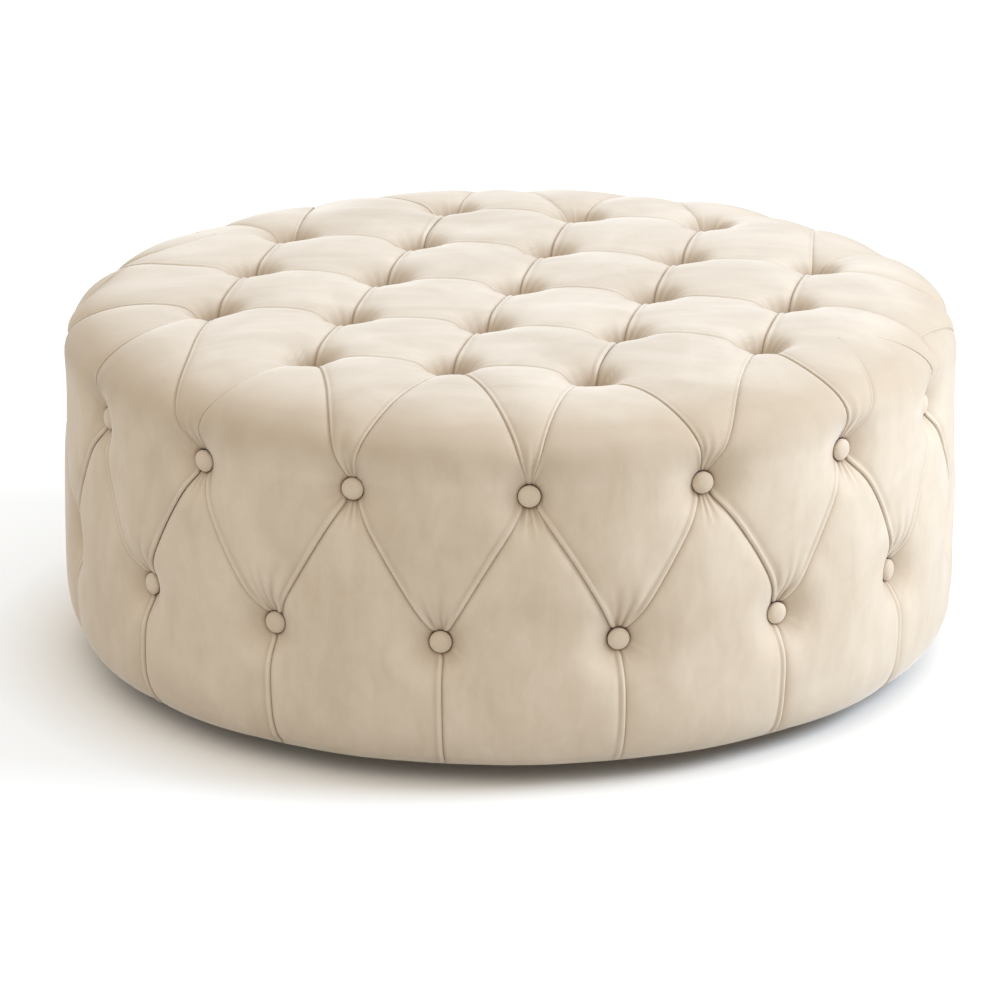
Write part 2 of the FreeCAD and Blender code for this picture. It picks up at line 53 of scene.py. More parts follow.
# ---- sizes --------------------------------------------------------------------
UPPER_LOW, UPPER_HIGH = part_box("upper_side_buttons")
LOWER_LOW, LOWER_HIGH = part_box("lower_side_buttons")
TUFTS_LOW, TUFTS_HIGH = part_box("top_buttons")
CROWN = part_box("cover_top")[1].z
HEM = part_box("cover_panels")[0].z
TUFT_OFF = np.array([(TUFTS_LOW.x + TUFTS_HIGH.x) / 2, (TUFTS_LOW.y + TUFTS_HIGH.y) / 2])
TOP_SEAT_Z = TUFTS_LOW.z         # back of a top button
UPPER_ROW = (UPPER_LOW.z + UPPER_HIGH.z) / 2
LOWER_ROW = (LOWER_LOW.z + LOWER_HIGH.z) / 2
BUTTON_R = (UPPER_HIGH.z - UPPER_LOW.z) / 2
DRUM_R = 0.508
SHOULDER_W = 0.225       # width, fall and fullness of the rounded shoulder
SHOULDER_H = 0.060
SHOULDER_FULL = 2.5
# the cloth turns in to the hem through these points: inwards from the drum, upwards from the hem
HEM_CURVE = ((0, 0.070), (0.0015, 0.016), (0.0165, 0.005), (0.019, 0), (0.026, 0))
FOLD_IN = 0.4575         # inner end of the cloth folded under the hem
TUFT_PITCH = 0.1575
TUFT_TURN = math.radians(-13.65)
ROW_BUTTONS = 16
ROW_STEP = 2 * math.pi / ROW_BUTTONS
ROW_TURN = math.radians(-90 + 2.24)

BARREL = 0.004           # how far the side swells in the middle
BARREL_AT = 0.165
BARREL_SPREAD = 0.125
TOP_CREST = 0.0065       # pillow tops stand this far over the plain drum
SIDE_CREST = 0.0030
SHOULDER_RUN = 0.44      # the crest changes from the top's to the side's from here down
SIDE_SEAT = 0.020        # plain drum to the back of a side button
TOP_VALLEY = 0.0052      # depth of a pleat half way between two buttons
SIDE_VALLEY = 0.0045
VALLEY_RUN = 0.032       # how fast a valley rises to its pillow
TOP_PULL = 0.0225        # how much deeper a pleat is drawn towards its button
SIDE_PULL = 0.0095
PULL_RUN = 0.021
TOP_WELL = 0.0150        # how fast a button's well rises
SIDE_WELL = 0.0245
WELL_REACH = 0.2         # a well is not felt farther off than this
RIM_HUG = 0.0034         # the cloth stands this far up a button's edge,
RIM_GAP = 0.0014         # leaves this gap round it
RIM_PIT = 0.0015         # and dips this far below its back
ROLL_DEPTH = 0.0030      # cloth rolling into the pleat
ROLL_RUN = 0.008
ROLL_FREE = 0.05         # it dies out this near a pleat's ends
SOFT_ROLL = 0.40         # its share on the shoulder and along the top's rows
PUFF = 0.0016            # how much one pillow differs from the next
UNEVEN = 0.00030         # height, number and lengths of the waves of slow unevenness
WAVES, WAVE_LENGTHS = 14, (0.07, 0.16)
CELLS = 44               # mesh cells from pleat to pleat
HEM_CELLS = 52
GRADING = 1.75
# mesh lines are drawn together at a button's rim: how far out they are before and after
DRAWN_FROM, DRAWN_TO = (0, 0.0085, 0.0180, 0.032), (0, 0.0117, 0.0152, 0.032)
FRAME_R = 0.4625         # the cover lies on the frame here,
HEM_RING_R = 0.4855      # on the hem ring here,
DECK_TOP = 0.3725        # and on the deck
BENT_WALL_R = 0.375      # the bent plywood walls, for their grain
LINING_R = 0.39          # the cloth linings, for their weave

FLOOR_GLOW = (0.135, 0.193, 0.262)
WORLD_LIGHT, WORLD_COLOUR = 0.88, (1.0, 0.935, 0.838)
KEY_AT, KEY_SIZE, KEY_POWER, KEY_COLOUR = (3.4, -0.35, 2.2), 2.0, 114, (0.76, 0.87, 1.0)


# ---- the drum's outline ---------------------------------------------------------
def bell(x, width):
    return np.exp(-(x / width) ** 2)


def held(x):
    return np.clip(x, 0, 1)


def bezier(a, b, c, t):
    a, b, c = (np.array(p, float) for p in (a, b, c))
    t = np.asarray(t)[:, None]
    return (1 - t) ** 2 * a + 2 * t * (1 - t) * b + t ** 2 * c


def drum_outline():
    """Radius, height, run and outward normal, from the middle of the top to the end of the fold."""
    edge = DRUM_R - SHOULDER_W
    turn = np.linspace(0, math.pi / 2, 160)[:, None]
    shoulder = np.hstack([edge + SHOULDER_W * np.sin(turn) ** (2 / SHOULDER_FULL),
                          CROWN - SHOULDER_H + SHOULDER_H * np.cos(turn).clip(0) ** (2 / SHOULDER_FULL)])
    turn_in = [(DRUM_R - inwards, HEM + upwards) for inwards, upwards in HEM_CURVE]
    t = np.linspace(0, 1, 40)
    line = np.vstack([[(0, CROWN), (edge, CROWN)], shoulder[1:], turn_in[:1], bezier(*turn_in[:3], t)[1:],
                      bezier(*turn_in[2:], t)[1:], [(FOLD_IN, HEM)]])
    run = np.r_[0, np.cumsum(np.hypot(*np.diff(line, axis=0).T))]
    even = np.linspace(0, run[-1], 2400)
    r, z = (np.interp(even, run, column) for column in line.T)
    r = r + BARREL * bell(z - BARREL_AT, BARREL_SPREAD) * (r / DRUM_R) ** 6 * (1 - bell(z - HEM, 0.02))
    soft = np.hanning(21) / np.hanning(21).sum()
    r_soft = np.convolve(np.pad(r, 10, "reflect", reflect_type="odd"), soft, "valid")
    z_soft = np.convolve(np.pad(z, 10, "edge"), soft, "valid")
    r_soft[0], z_soft[-10:] = 0, HEM
    run = np.r_[0, np.cumsum(np.hypot(np.diff(r_soft), np.diff(z_soft)))]
    dr, dz = np.gradient(r_soft, run), np.gradient(z_soft, run)
    length = np.hypot(dr, dz)
    return r_soft, z_soft, run, -dz / length, dr / length


OUT_R, OUT_Z, RUN, NORMAL_R, NORMAL_Z = drum_outline()
WIDEST = int(np.argmax(OUT_R))
HEM_RUN = float(np.interp(-(HEM + 0.0008), -OUT_Z[WIDEST:], RUN[WIDEST:]))


def run_at_radius(radius):
    return float(np.interp(radius, OUT_R[:WIDEST], RUN[:WIDEST]))


def run_at_height(height):
    down = slice(int(np.argmax(OUT_Z < CROWN - 0.001)), len(OUT_Z))
    return float(np.interp(-height, -OUT_Z[down], RUN[down]))


def on_drum(flat):
    """Points and outward normals of the plain drum, from its flat map."""
    run = np.hypot(flat[..., 0], flat[..., 1])
    turn = np.arctan2(flat[..., 1], flat[..., 0])
    r, z, nr, nz = (np.interp(run, RUN, column) for column in (OUT_R, OUT_Z, NORMAL_R, NORMAL_Z))
    c, s = np.cos(turn), np.sin(turn)
    return np.stack([r * c, r * s, z], -1), np.stack([nr * c, nr * s, nz], -1)


def wrapped(angle):
    """The same angle, within half a turn of nought."""
    return (angle + math.pi) % (2 * math.pi) - math.pi


def flat_at(run, turn):
    return np.stack([run * np.cos(turn), run * np.sin(turn)], -1)


# ---- buttons and pleats on the flat map -----------------------------------------
def tuft(m, n):
    return ("tuft", m, n)


def upper(k):
    return ("upper", k % ROW_BUTTONS, 0)


def lower(k):
    return ("lower", k % ROW_BUTTONS, 0)


def hem(k):
    return ("hem", k % ROW_BUTTONS, 0)


PINCH = tuft(3, -0.2)            # pleats meet here, with no button
FADE = tuft(2.5, -0.8)           # two pleats run out here
UPPER_RUN = run_at_height(UPPER_ROW)
LOWER_RUN = run_at_height(LOWER_ROW)


def polar_of(node):
    """Run and turn of a node."""
    kind, a, b = node
    if kind == "tuft":
        c, s = math.cos(TUFT_TURN), math.sin(TUFT_TURN)
        x, y = TUFT_OFF + TUFT_PITCH * np.array([a * c - b * s, a * s + b * c])
        return run_at_radius(math.hypot(x, y)), math.atan2(y, x)
    if kind == "upper":
        return UPPER_RUN, ROW_TURN + ROW_STEP * a
    return (LOWER_RUN if kind == "lower" else HEM_RUN), ROW_TURN + ROW_STEP * (a + 0.5)


def spot(node):
    """Where a node lies on the flat map."""
    run, turn = polar_of(node)
    return np.array([run * math.cos(turn), run * math.sin(turn)])


def reach_from(points, node):
    """Distance of points from a node's place on the plain drum."""
    return np.linalg.norm(points - on_drum(spot(node))[0], axis=1)


def opposite(node):
    kind, a, b = node
    return (kind, -a, -b) if kind == "tuft" else (kind, (a + ROW_BUTTONS // 2) % ROW_BUTTONS, 0)


def over_shoulder(a, b):
    """True for the pleats between the top and the upper side buttons."""
    return {a[0], b[0]} == {"tuft", "upper"}


def along_row(a, b):
    """True for the soft pleats between the buttons of one row on the top."""
    return a[0] == b[0] == "tuft" and abs(a[2] - b[2]) < 0.5


PINCHES, FADES = (PINCH, opposite(PINCH)), (FADE, opposite(FADE))


def graded(cells):
    """From 0 to 1 in steps that are finer at both ends."""
    t = np.linspace(-1, 1, cells + 1)
    return 0.5 + 0.5 * np.tanh(GRADING * t) / math.tanh(GRADING)


def twice_graded():
    """The same over two pleats end to end."""
    g = graded(CELLS)
    return np.r_[g[:-1] / 2, 0.5 + g / 2]


RANDOM = np.random.default_rng(16)
PLEATS = {}
# how far the middle of a side pleat is laid off its straight line, by its upper button,
# and how far either way for the others
FALLS_RIGHT = {0: 0.006, 1: 0.012, 2: 0.013, 15: 0.0, 14: -0.0065, 3: 0.010, 13: -0.006}
FALLS_LEFT = {0: -0.002, 1: 0.0035, 2: -0.002, 15: -0.002, 3: 0.003, 14: -0.004}
FALLS_OFF, HEM_OFF = 0.004, 0.006
BOWS = {(tuft(2, 0), PINCH): 0.015, (opposite(PINCH), tuft(-2, 0)): 0.015}
# a shoulder pleat bends towards this share of its run and of its turn, counted from its top end:
# most, those that are nearly straight, and the odd ones by upper button and whether they run out
BENT, STRAIGHT, STEEP = (0.22, 0.70), (0.42, 0.52), 0.6
ODD_BENDS = {(2, True): (0.50, 0.50), (3, True): (0.20, 0.95), (2, False): (0.42, 1.55)}


def pleat(a, b):
    """The pleat from node a to node b as points of the flat map."""
    key = (a, b) if a <= b else (b, a)
    if key not in PLEATS:
        start, end = key
        t = graded(HEM_CELLS if "hem" in (start[0], end[0]) else CELLS)
        if start[0] == end[0] == "tuft":
            p, q = spot(start), spot(end)
            side = np.array([p[1] - q[1], q[0] - p[0]]) / np.linalg.norm(q - p)
            side = side * math.copysign(1, side[1] * start[1])
            line = bezier(p, (p + q) / 2 + 2 * BOWS.get(key, 0.0) * side, q, t)
        else:
            p, q = np.array(polar_of(start)), np.array(polar_of(end))
            q[1] = p[1] + wrapped(q[1] - p[1])
            middle = (p + q) / 2
            if over_shoulder(start, end):
                # a tuft comes before an upper button in the key
                steep = abs(p[1] - q[1]) / abs(p[0] - q[0]) > STEEP
                odd = (end[1] % (ROW_BUTTONS // 2), start in FADES)
                middle = p + np.array(ODD_BENDS.get(odd, BENT if steep else STRAIGHT)) * (q - p)
            elif "hem" in (start[0], end[0]):
                middle[1] += RANDOM.uniform(-HEM_OFF, HEM_OFF) / DRUM_R
            else:
                # a lower button comes before an upper one
                falls = FALLS_RIGHT if start[1] == end[1] else FALLS_LEFT
                middle[1] += 2 * falls.get(end[1], RANDOM.uniform(-FALLS_OFF, FALLS_OFF)) / DRUM_R
            line = flat_at(*bezier(p, middle, q, t).T)
        PLEATS[key] = line
    return PLEATS[key] if key == (a, b) else PLEATS[key][::-1]


def top_patches():
    """Corner nodes of the pillows over the top and shoulder; three corners make a fan from the last."""
    patches = []
    for m in range(-2, 2):
        for n in range(-2, 2):
            corners = [(m, n), (m + 1, n), (m + 1, n + 1), (m, n + 1)]
            if all(abs(a) + abs(b) < 4 for a, b in corners):
                patches.append([tuft(*c) for c in corners])
    half = [[tuft(1, -1), tuft(1, -2), upper(1), tuft(2, -1)],
            [tuft(1, 1), tuft(2, 1), upper(6), tuft(1, 2)],
            [tuft(0, -2), tuft(1, -2), upper(0)],
            [tuft(1, 2), tuft(0, 2), upper(7)],
            [tuft(2, 0), PINCH, upper(4), tuft(2, 1)],
            [tuft(2, -1), FADE, PINCH, tuft(2, 0)],
            [tuft(2, -1), FADE, upper(2)],
            [FADE, PINCH, upper(3)]]
    return patches + half + [[opposite(node) for node in patch] for patch in half]


DIAMOND_TOPS = [tuft(1, -2), tuft(2, -1), FADE, PINCH, tuft(2, 1), tuft(2, 1), tuft(1, 2), tuft(0, 2)]
DIAMOND_TOPS += [opposite(node) for node in DIAMOND_TOPS]


def coons(low, high, left, right):
    """Grid of points between four edge lines."""
    u = (graded(CELLS) if len(low) == CELLS + 1 else twice_graded())[None, :, None]
    v = graded(len(left) - 1)[:, None, None]
    grid = ((1 - v) * low[None] + v * high[None] + (1 - u) * left[:, None] + u * right[:, None]
            - (1 - u) * (1 - v) * low[0] - u * (1 - v) * low[-1]
            - (1 - u) * v * high[0] - u * v * high[-1])
    grid[0], grid[-1], grid[:, 0], grid[:, -1] = low, high, left, right
    return grid


def patch_grids():
    """Each pillow as a grid on the flat map, with the pleats that bound it."""
    made = []
    diamonds = [[lower(k), upper(k + 1), top, upper(k)] for k, top in enumerate(DIAMOND_TOPS)]
    for corners in top_patches() + diamonds:
        a, b, c = corners[:3]
        if len(corners) == 4:
            d = corners[3]
            grid = coons(pleat(a, b), pleat(d, c), pleat(a, d), pleat(b, c))
        else:
            grid = coons(pleat(a, b), np.repeat(spot(c)[None], CELLS + 1, 0), pleat(a, c), pleat(b, c))
        made.append((grid, list(zip(corners, corners[1:] + corners[:1]))))
    for k in range(ROW_BUTTONS):
        a, b, c = lower(k - 1), upper(k), lower(k)
        roof = np.vstack([pleat(a, b)[:-1], pleat(b, c)])
        start, end = polar_of(hem(k - 1))[1], polar_of(hem(k))[1]
        end = start + (end - start) % (2 * math.pi)
        foot = flat_at(HEM_RUN, start + (end - start) * twice_graded())
        left, right = pleat(a, hem(k - 1)), pleat(c, hem(k))
        foot[0], foot[-1] = left[-1], right[-1]
        made.append((coons(roof, foot, left, right), [(a, b), (b, c), (a, hem(k - 1)), (c, hem(k))]))
    return made


# ---- how the padding swells between the pleats ----------------------------------
def nearest(points, line):
    """Distance from each point to a line of points, and how far along it, 0 to 1."""
    a, ab = line[:-1], np.diff(line, axis=0)
    ap = points[:, None] - a[None]
    t = held((ap * ab).sum(-1) / np.maximum((ab ** 2).sum(-1), 1e-18))
    gap = np.sqrt(((ap - t[..., None] * ab) ** 2).sum(-1))
    best = gap.argmin(1)
    rows = np.arange(len(points))
    return gap[rows, best], (best + t[rows, best]) / (len(line) - 1)


def is_virtual(a, b):
    """Lines where two pillows run into each other with no pleat."""
    return (a in FADES or b in FADES) and "upper" not in (a[0], b[0])


def valley_depth(a, b, along):
    """Depth of the valley along a pleat from a to b: its middle, and what the buttons add."""
    pull = np.zeros_like(along)
    if is_virtual(a, b):
        return pull, pull
    depth = np.full_like(along, TOP_VALLEY if a[0] == b[0] == "tuft" else SIDE_VALLEY)
    for node, t in ((a, along), (b, 1 - along)):
        if node in FADES:
            depth = depth * held(t * 1.15) ** 1.3
        elif node in PINCHES or node[0] == "hem":
            left = 0.62 if node in PINCHES else 0.55
            depth = depth * (left + (1 - left) * held(t * 2))
        else:
            arch = 1 - np.sin(math.pi * np.clip(t, 0, 0.5))
            pull = pull + (TOP_PULL * arch if node[0] == "tuft" else SIDE_PULL * arch ** 1.15)
    return depth, pull


BUTTONS = ([tuft(m, n) for m in range(-2, 3) for n in range(-2, 3) if abs(m) + abs(n) < 4]
           + [upper(k) for k in range(ROW_BUTTONS)] + [lower(k) for k in range(ROW_BUTTONS)])


def seat(node):
    """Where the back of a button sits, and which way it faces."""
    x, y, z = on_drum(spot(node))[0]
    if node[0] == "tuft":
        return np.array([x, y, TOP_SEAT_Z]), np.array([0, 0, 1.0])
    out = np.array([x, y, 0]) / math.hypot(x, y)
    return np.array([*out[:2] * (DRUM_R - SIDE_SEAT), z]), out


def crest(run):
    """How far the pillow tops stand over the plain drum."""
    to_side = held((run - SHOULDER_RUN) / (UPPER_RUN - SHOULDER_RUN))
    return (TOP_CREST + (SIDE_CREST - TOP_CREST) * to_side) * held((HEM_RUN - run) / 0.05)


def swell(points, nodes):
    """Depth of the padded surface below its crests, near a pillow's corner nodes."""
    total, pit = np.zeros(len(points)), np.zeros(len(points))
    for key, line in PLEATS.items():
        if key[0] in nodes or key[1] in nodes:
            gap, along = nearest(points, on_drum(line[np.r_[0:len(line) - 1:3, -1]])[0])
            depth, pull = valley_depth(*key, along)
            total += (depth * np.exp(-gap / VALLEY_RUN) + pull * np.exp(-gap / PULL_RUN)) ** 3
    for node in BUTTONS:
        gap = reach_from(points, node)
        if gap.min() < WELL_REACH:
            deep = np.linalg.norm(on_drum(spot(node))[0] - seat(node)[0]) + float(crest(polar_of(node)[0]))
            well = TOP_WELL if node[0] == "tuft" else SIDE_WELL
            rise = np.exp(-(np.maximum(gap - BUTTON_R, 0) / well) ** 1.4)
            total += ((deep - RIM_HUG) * rise) ** 3
            pit += (RIM_HUG + RIM_PIT) * bell(np.maximum(gap - BUTTON_R * 0.95, 0), RIM_GAP)
    return -np.cbrt(total) - pit


# a fold of cloth at a pleat, in steps from the pleat's line into the upper cloth:
# how far across, where that goes, its height, and its painted light: a painted highlight on the fold, painted shade
# at its edges
LIP = np.array([[0, -0.8, -4.2, -1], [0.5, -2.0, -3.2, -1], [1.1, -2.6, -1.3, -0.6], [1.8, -2.3, 0.5, 0.1],
                [2.6, -1.2, 1.6, 0.5], [3.6, 0.4, 1.9, 0.6], [4.6, 2.0, 1.5, 0.4], [5.4, 3.2, 0.5, 0.0],
                [6.2, 4.3, -0.9, -0.4], [7.3, 5.9, -1.3, -0.4], [9.2, 8.5, -0.6, -0.1], [12.5, 12.5, 0.0, 0]])
LIP[:, :3] *= 0.00086
LIP_REACH = 0.013
TUCK_BACK, TUCK_BACK_RUN = 0.001, 0.0015      # the cloth under the fold is drawn in and down
TUCK_DOWN, TUCK_DOWN_RUN = 0.0048, 0.0030
# how far the painted shade in the crease under a fold reaches
TUCK_SHADE_RUN = 0.0035
SHOULDER_LIP = 0.66       # the folds over the shoulder are this much narrower
SHOULDER_FOLD, ROW_FOLD, CROSS_FOLD = 0.40, 0.16, 0.70      # how full the folds on the top are
FAINT = (tuft(-1, -2), tuft(1, 2))      # a pleat from each of these shows only near its side button
FAINT_TO = (upper(-2), upper(6))
FAINT_RUN, FULL_RUN = 0.20, 0.18        # down the shoulder, to where such a pleat, or any other, is full
FOLD_FROM, FOLD_OVER = 0.010, 0.008     # a fold starts this far from its button and grows over this,
FADE_FROM, FADE_OVER = 0.015, 0.09      # or from where it runs out
TOP_RUN = 0.36                          # pillows nearer the middle than this lie on the top


def laps_over(grid, other):
    """True where this pillow's cloth lies over the other's at their pleat: the upper one, or the rear one."""
    a, b = grid.reshape(-1, 2).mean(0), other.reshape(-1, 2).mean(0)
    run_a, run_b = np.hypot(*a), np.hypot(*b)
    if min(run_a, run_b) < TOP_RUN:
        return a[1] + 0.3 * a[0] > b[1] + 0.3 * b[0]
    if abs(run_a - run_b) < 0.02:     # side by side
        return a[0] * b[1] - a[1] * b[0] > 0
    return run_a < run_b


def lip_strength(a, b, foot):
    """How full the fold along a pleat is at each foot point."""
    if over_shoulder(a, b):
        above, button = (a, b) if a[0] == "tuft" else (b, a)
        down = reach_from(foot, above)
        faint = above in FAINT and button in FAINT_TO
        strength = SHOULDER_FOLD * (np.clip(down / FAINT_RUN, 0.05, 1) ** 2 if faint
                                    else 0.5 + 0.6 * held(down / FULL_RUN))
    else:
        on_top = a[0] == b[0] == "tuft"
        strength = np.full(len(foot), ROW_FOLD if along_row(a, b) else CROSS_FOLD if on_top else 1.0)
    for node in (a, b):
        if node in FADES:
            strength *= held((reach_from(foot, node) - FADE_FROM) / FADE_OVER) ** 1.5
        elif node[0] != "hem" and node not in PINCHES:
            strength *= held((reach_from(foot, node) - FOLD_FROM) / FOLD_OVER)
    return strength


def lips(points, normals, edge, over):
    """Moves that fold the cloth over, or tuck it under, along one pleat, and the painted light there: a highlight on
    the fold, shade in the crease under it.
    """
    line, up = on_drum(pleat(*edge))
    gap, along = nearest(points, line)
    near = gap < LIP_REACH
    move, tone = np.zeros_like(points), np.zeros(len(points))
    if not near.any():
        return move, tone
    place = along[near] * (len(line) - 1)
    at = np.clip(place.astype(int), 0, len(line) - 2)
    share = (place - at)[:, None]
    foot = line[at] * (1 - share) + line[at + 1] * share
    strength = lip_strength(*edge, foot)
    tangent = np.gradient(line, axis=0)[at]
    across = np.cross(up[at], tangent / np.linalg.norm(tangent, axis=1)[:, None])
    across *= np.sign(((points.mean(0) - foot) * across).sum(1))[:, None]
    size = SHOULDER_LIP if over_shoulder(*edge) else 1.0
    d = gap[near] / size
    if over:
        # the fold's painted highlight and the painted shade at its edges
        shift, lift, light = (np.interp(d, LIP[:, 0], column) for column in
                              (LIP[:, 1] - LIP[:, 0], LIP[:, 2], LIP[:, 3]))
    else:
        shift, lift = -TUCK_BACK * np.exp(-d / TUCK_BACK_RUN), -TUCK_DOWN * np.exp(-d / TUCK_DOWN_RUN)
        # painted shade in the crease under the fold
        light = -bell(d, TUCK_SHADE_RUN)
    move[near] = (across * (shift * size)[:, None] + normals[near] * lift[:, None]) * strength[:, None]
    tone[near] = light * strength
    return move, tone


def drawn_to_rims(flat):
    """Draw the mesh lines together at the rims of the buttons, on the flat map."""
    for node in BUTTONS:
        run0, turn0 = polar_of(node)
        radius = float(np.interp(run0, RUN, OUT_R))
        if node[0] == "tuft":
            du, dv = (flat - spot(node)).T
        else:
            du = np.hypot(*flat.T) - run0
            dv = wrapped(np.arctan2(flat[:, 1], flat[:, 0]) - turn0) * radius
        far = np.hypot(du, dv)
        near = (far > 1e-9) & (far < DRAWN_FROM[-1])
        scale = np.interp(far[near], DRAWN_FROM, DRAWN_TO) / far[near]
        du, dv = du[near] * scale, dv[near] * scale
        flat[near] = (spot(node) + np.stack([du, dv], 1) if node[0] == "tuft"
                      else flat_at(run0 + du, turn0 + dv / radius))
    return flat


GATHER_REACH = 0.09
# the fans of small folds round a button: middle and half spread in degrees from straight up, count,
# length and height
GATHERS = {
    "lower": [(0, 21, 5, 0.080, 0.0028), (180, 60, 4, 0.026, 0.0009)],
    "upper": [(0, 14, 3, 0.064, 0.0023), (180, 26, 4, 0.036, 0.0018), (95, 30, 2, 0.024, 0.0008),
              (-95, 30, 2, 0.024, 0.0008)],
    "tuft": [(45 + 90 * q - math.degrees(TUFT_TURN), 26, 3, 0.036, 0.0012) for q in range(4)],
}


def gathers():
    """Small folds that run out from each button: direction, spread, length and height, by node."""
    folds = {}
    for node in BUTTONS:
        folds[node] = [(math.radians(middle + angle + RANDOM.uniform(-4, 4)),
                        math.radians(RANDOM.uniform(3.4, 5.0)), length * RANDOM.uniform(0.55, 1.1),
                        height * RANDOM.uniform(0.5, 1.2))
                       for middle, spread, count, length, height in GATHERS[node[0]]
                       for angle in np.linspace(-spread, spread, count)]
    return folds


def gather(points, folds):
    """Height that the small folds add at each point."""
    added = np.zeros(len(points))
    for node in BUTTONS:
        centre, up = on_drum(spot(node))
        offset = points - centre
        far = np.linalg.norm(offset, axis=1)
        near = np.flatnonzero(far < GATHER_REACH)
        if not len(near):
            continue
        if node[0] == "tuft":
            rise, right = np.array([0, 1.0, 0]), np.array([1.0, 0, 0])
        else:
            rise = np.array([0, 0, 1.0])
            right = np.cross(rise, up)
            right /= np.linalg.norm(right)
        angle = np.arctan2(offset[near] @ right, offset[near] @ rise)
        for way, width, length, height in folds[node]:
            off = wrapped(angle - way) / width
            out = held((far[near] - BUTTON_R - 0.001) / length)
            shape = bell(off, 1) - 0.45 * bell(off, 2.2)
            added[near] += height * shape * np.sin(math.pi * out ** 0.45) * (1 - out) ** 0.3
    return added


# painted shade round a button, how dark and how far out: in the well, and in the gap at its edge
PAINTED_TOP_WELL_SHADE, PAINTED_SIDE_WELL_SHADE, PAINTED_RIM_GAP_SHADE = (0.75, 0.017), (0.60, 0.013), (1.4, 0.0024)


def painted_button_shade(points):
    """Painted shade round the buttons, in their wells and in the gap at their edges."""
    dark = np.zeros(len(points))
    for node in BUTTONS:
        gap = np.maximum(reach_from(points, node) - BUTTON_R, 0)
        for deep, wide in (PAINTED_TOP_WELL_SHADE if node[0] == "tuft" else PAINTED_SIDE_WELL_SHADE, PAINTED_RIM_GAP_SHADE):
            dark += deep * bell(gap, wide)
    return dark


def rolling(points):
    """Slow unevenness of hand-laid padding."""
    waves = np.zeros(len(points))
    for _ in range(WAVES):
        way = RANDOM.normal(size=3)
        way *= 2 * math.pi / RANDOM.uniform(*WAVE_LENGTHS) / np.linalg.norm(way)
        waves += np.sin(points @ way + RANDOM.uniform(0, 2 * math.pi))
    return UNEVEN * waves


def quads(rows, cols, first):
    i, j = np.meshgrid(np.arange(rows - 1), np.arange(cols - 1), indexing="ij")
    a = first + i * cols + j
    return np.stack([a, a + 1, a + cols + 1, a + cols], -1).reshape(-1, 4)


def buttoned_cover():
    """Points and faces of the cover down to its hem, the ring of points there, and the painted light and shade of
    its folds, pleats and button wells.
    """
    grids = patch_grids()
    folds = gathers()
    owners = {}
    for index, (_, edges) in enumerate(grids):
        for edge in edges:
            owners.setdefault(frozenset(edge), []).append(index)
    all_flat, all_move, faces, first = [], [], [], 0
    for index, (grid, edges) in enumerate(grids):
        rows, cols = grid.shape[:2]
        flat = drawn_to_rims(grid.reshape(-1, 2).copy())
        points, normals = on_drum(flat)
        nodes = {node for edge in edges for node in edge}
        u, v = np.meshgrid(graded(cols - 1), graded(rows - 1))
        puff = RANDOM.uniform(-PUFF, PUFF) * (16 * u * (1 - u) * v * (1 - v)).ravel() ** 0.8
        height = swell(points, nodes) + crest(np.hypot(*flat.T)) + puff
        move, nap = np.zeros_like(points), np.zeros(len(points))
        for edge in edges:
            if is_virtual(*edge):
                continue
            gap, along = nearest(points, on_drum(pleat(*edge)[::2])[0])
            share = np.minimum(valley_depth(*edge, along)[0] / SIDE_VALLEY, 1)
            if over_shoulder(*edge) or along_row(*edge):
                share = share * SOFT_ROLL
            for node in edge:
                share = share * held(reach_from(points, node) / ROLL_FREE)
            height -= ROLL_DEPTH * share * np.exp(-gap / ROLL_RUN)
            pair = owners[frozenset(edge)]
            other = pair[0] if pair[1] == index else pair[1]
            turned, tone = lips(points, normals, edge, laps_over(grid, grids[other][0]))
            move, nap = move + turned, nap + tone
        fine = gather(points, folds)
        height += fine
        # painted highlight on the ridges of the small folds, painted shade in their hollows and round the buttons
        nap += np.clip(fine / 0.0014, -0.8, 0.8) - painted_button_shade(points)
        all_flat.append(flat)
        all_move.append(np.hstack([move + normals * height[:, None], nap[:, None]]))
        faces.append(quads(rows, cols, first))
        first += rows * cols
    flat, move, faces = np.vstack(all_flat), np.vstack(all_move), np.vstack(faces)
    # points that pillows share are merged and get the mean of their moves
    _, index, same = np.unique(np.round(flat, 7), axis=0, return_index=True, return_inverse=True)
    same, flat = same.ravel(), flat[index]
    move = np.stack([np.bincount(same, column) for column in move.T], 1) / np.bincount(same)[:, None]
    base, normals = on_drum(flat)
    above_hem = held((base[:, 2:3] - HEM) / 0.05)
    points = base + move[:, :3] + normals * rolling(base)[:, None] * above_hem
    ring = np.flatnonzero(np.abs(np.hypot(*flat.T) - HEM_RUN) < 1e-6)
    ring = ring[np.argsort(np.arctan2(flat[ring, 1], flat[ring, 0]))]
    return points, same[faces], ring, move[:, 3]


# ---- node trees -----------------------------------------------------------------
def operator(operation, swapped=False):
    """A Math node behind one of Python's operators."""
    def work(self, other):
        first, second = (other, self) if swapped else (self, other)
        return self.owner.node("ShaderNodeMath", {0: first, 1: second}, operation=operation)
    return work


class Socket:
    """An output in a node tree; arithmetic on it adds Math nodes."""

    def __init__(self, owner, socket):
        self.owner, self.socket = owner, socket

    __add__ = __radd__ = operator("ADD")
    __mul__ = __rmul__ = operator("MULTIPLY")
    __sub__, __rsub__ = operator("SUBTRACT"), operator("SUBTRACT", swapped=True)
    __truediv__, __pow__ = operator("DIVIDE"), operator("POWER")

    def math(self, operation, *others):
        return self.owner.node("ShaderNodeMath", dict(enumerate((self, *others))), operation=operation)

    def part(self, axis):
        return self.owner.node("ShaderNodeSeparateXYZ", {0: self}, axis)


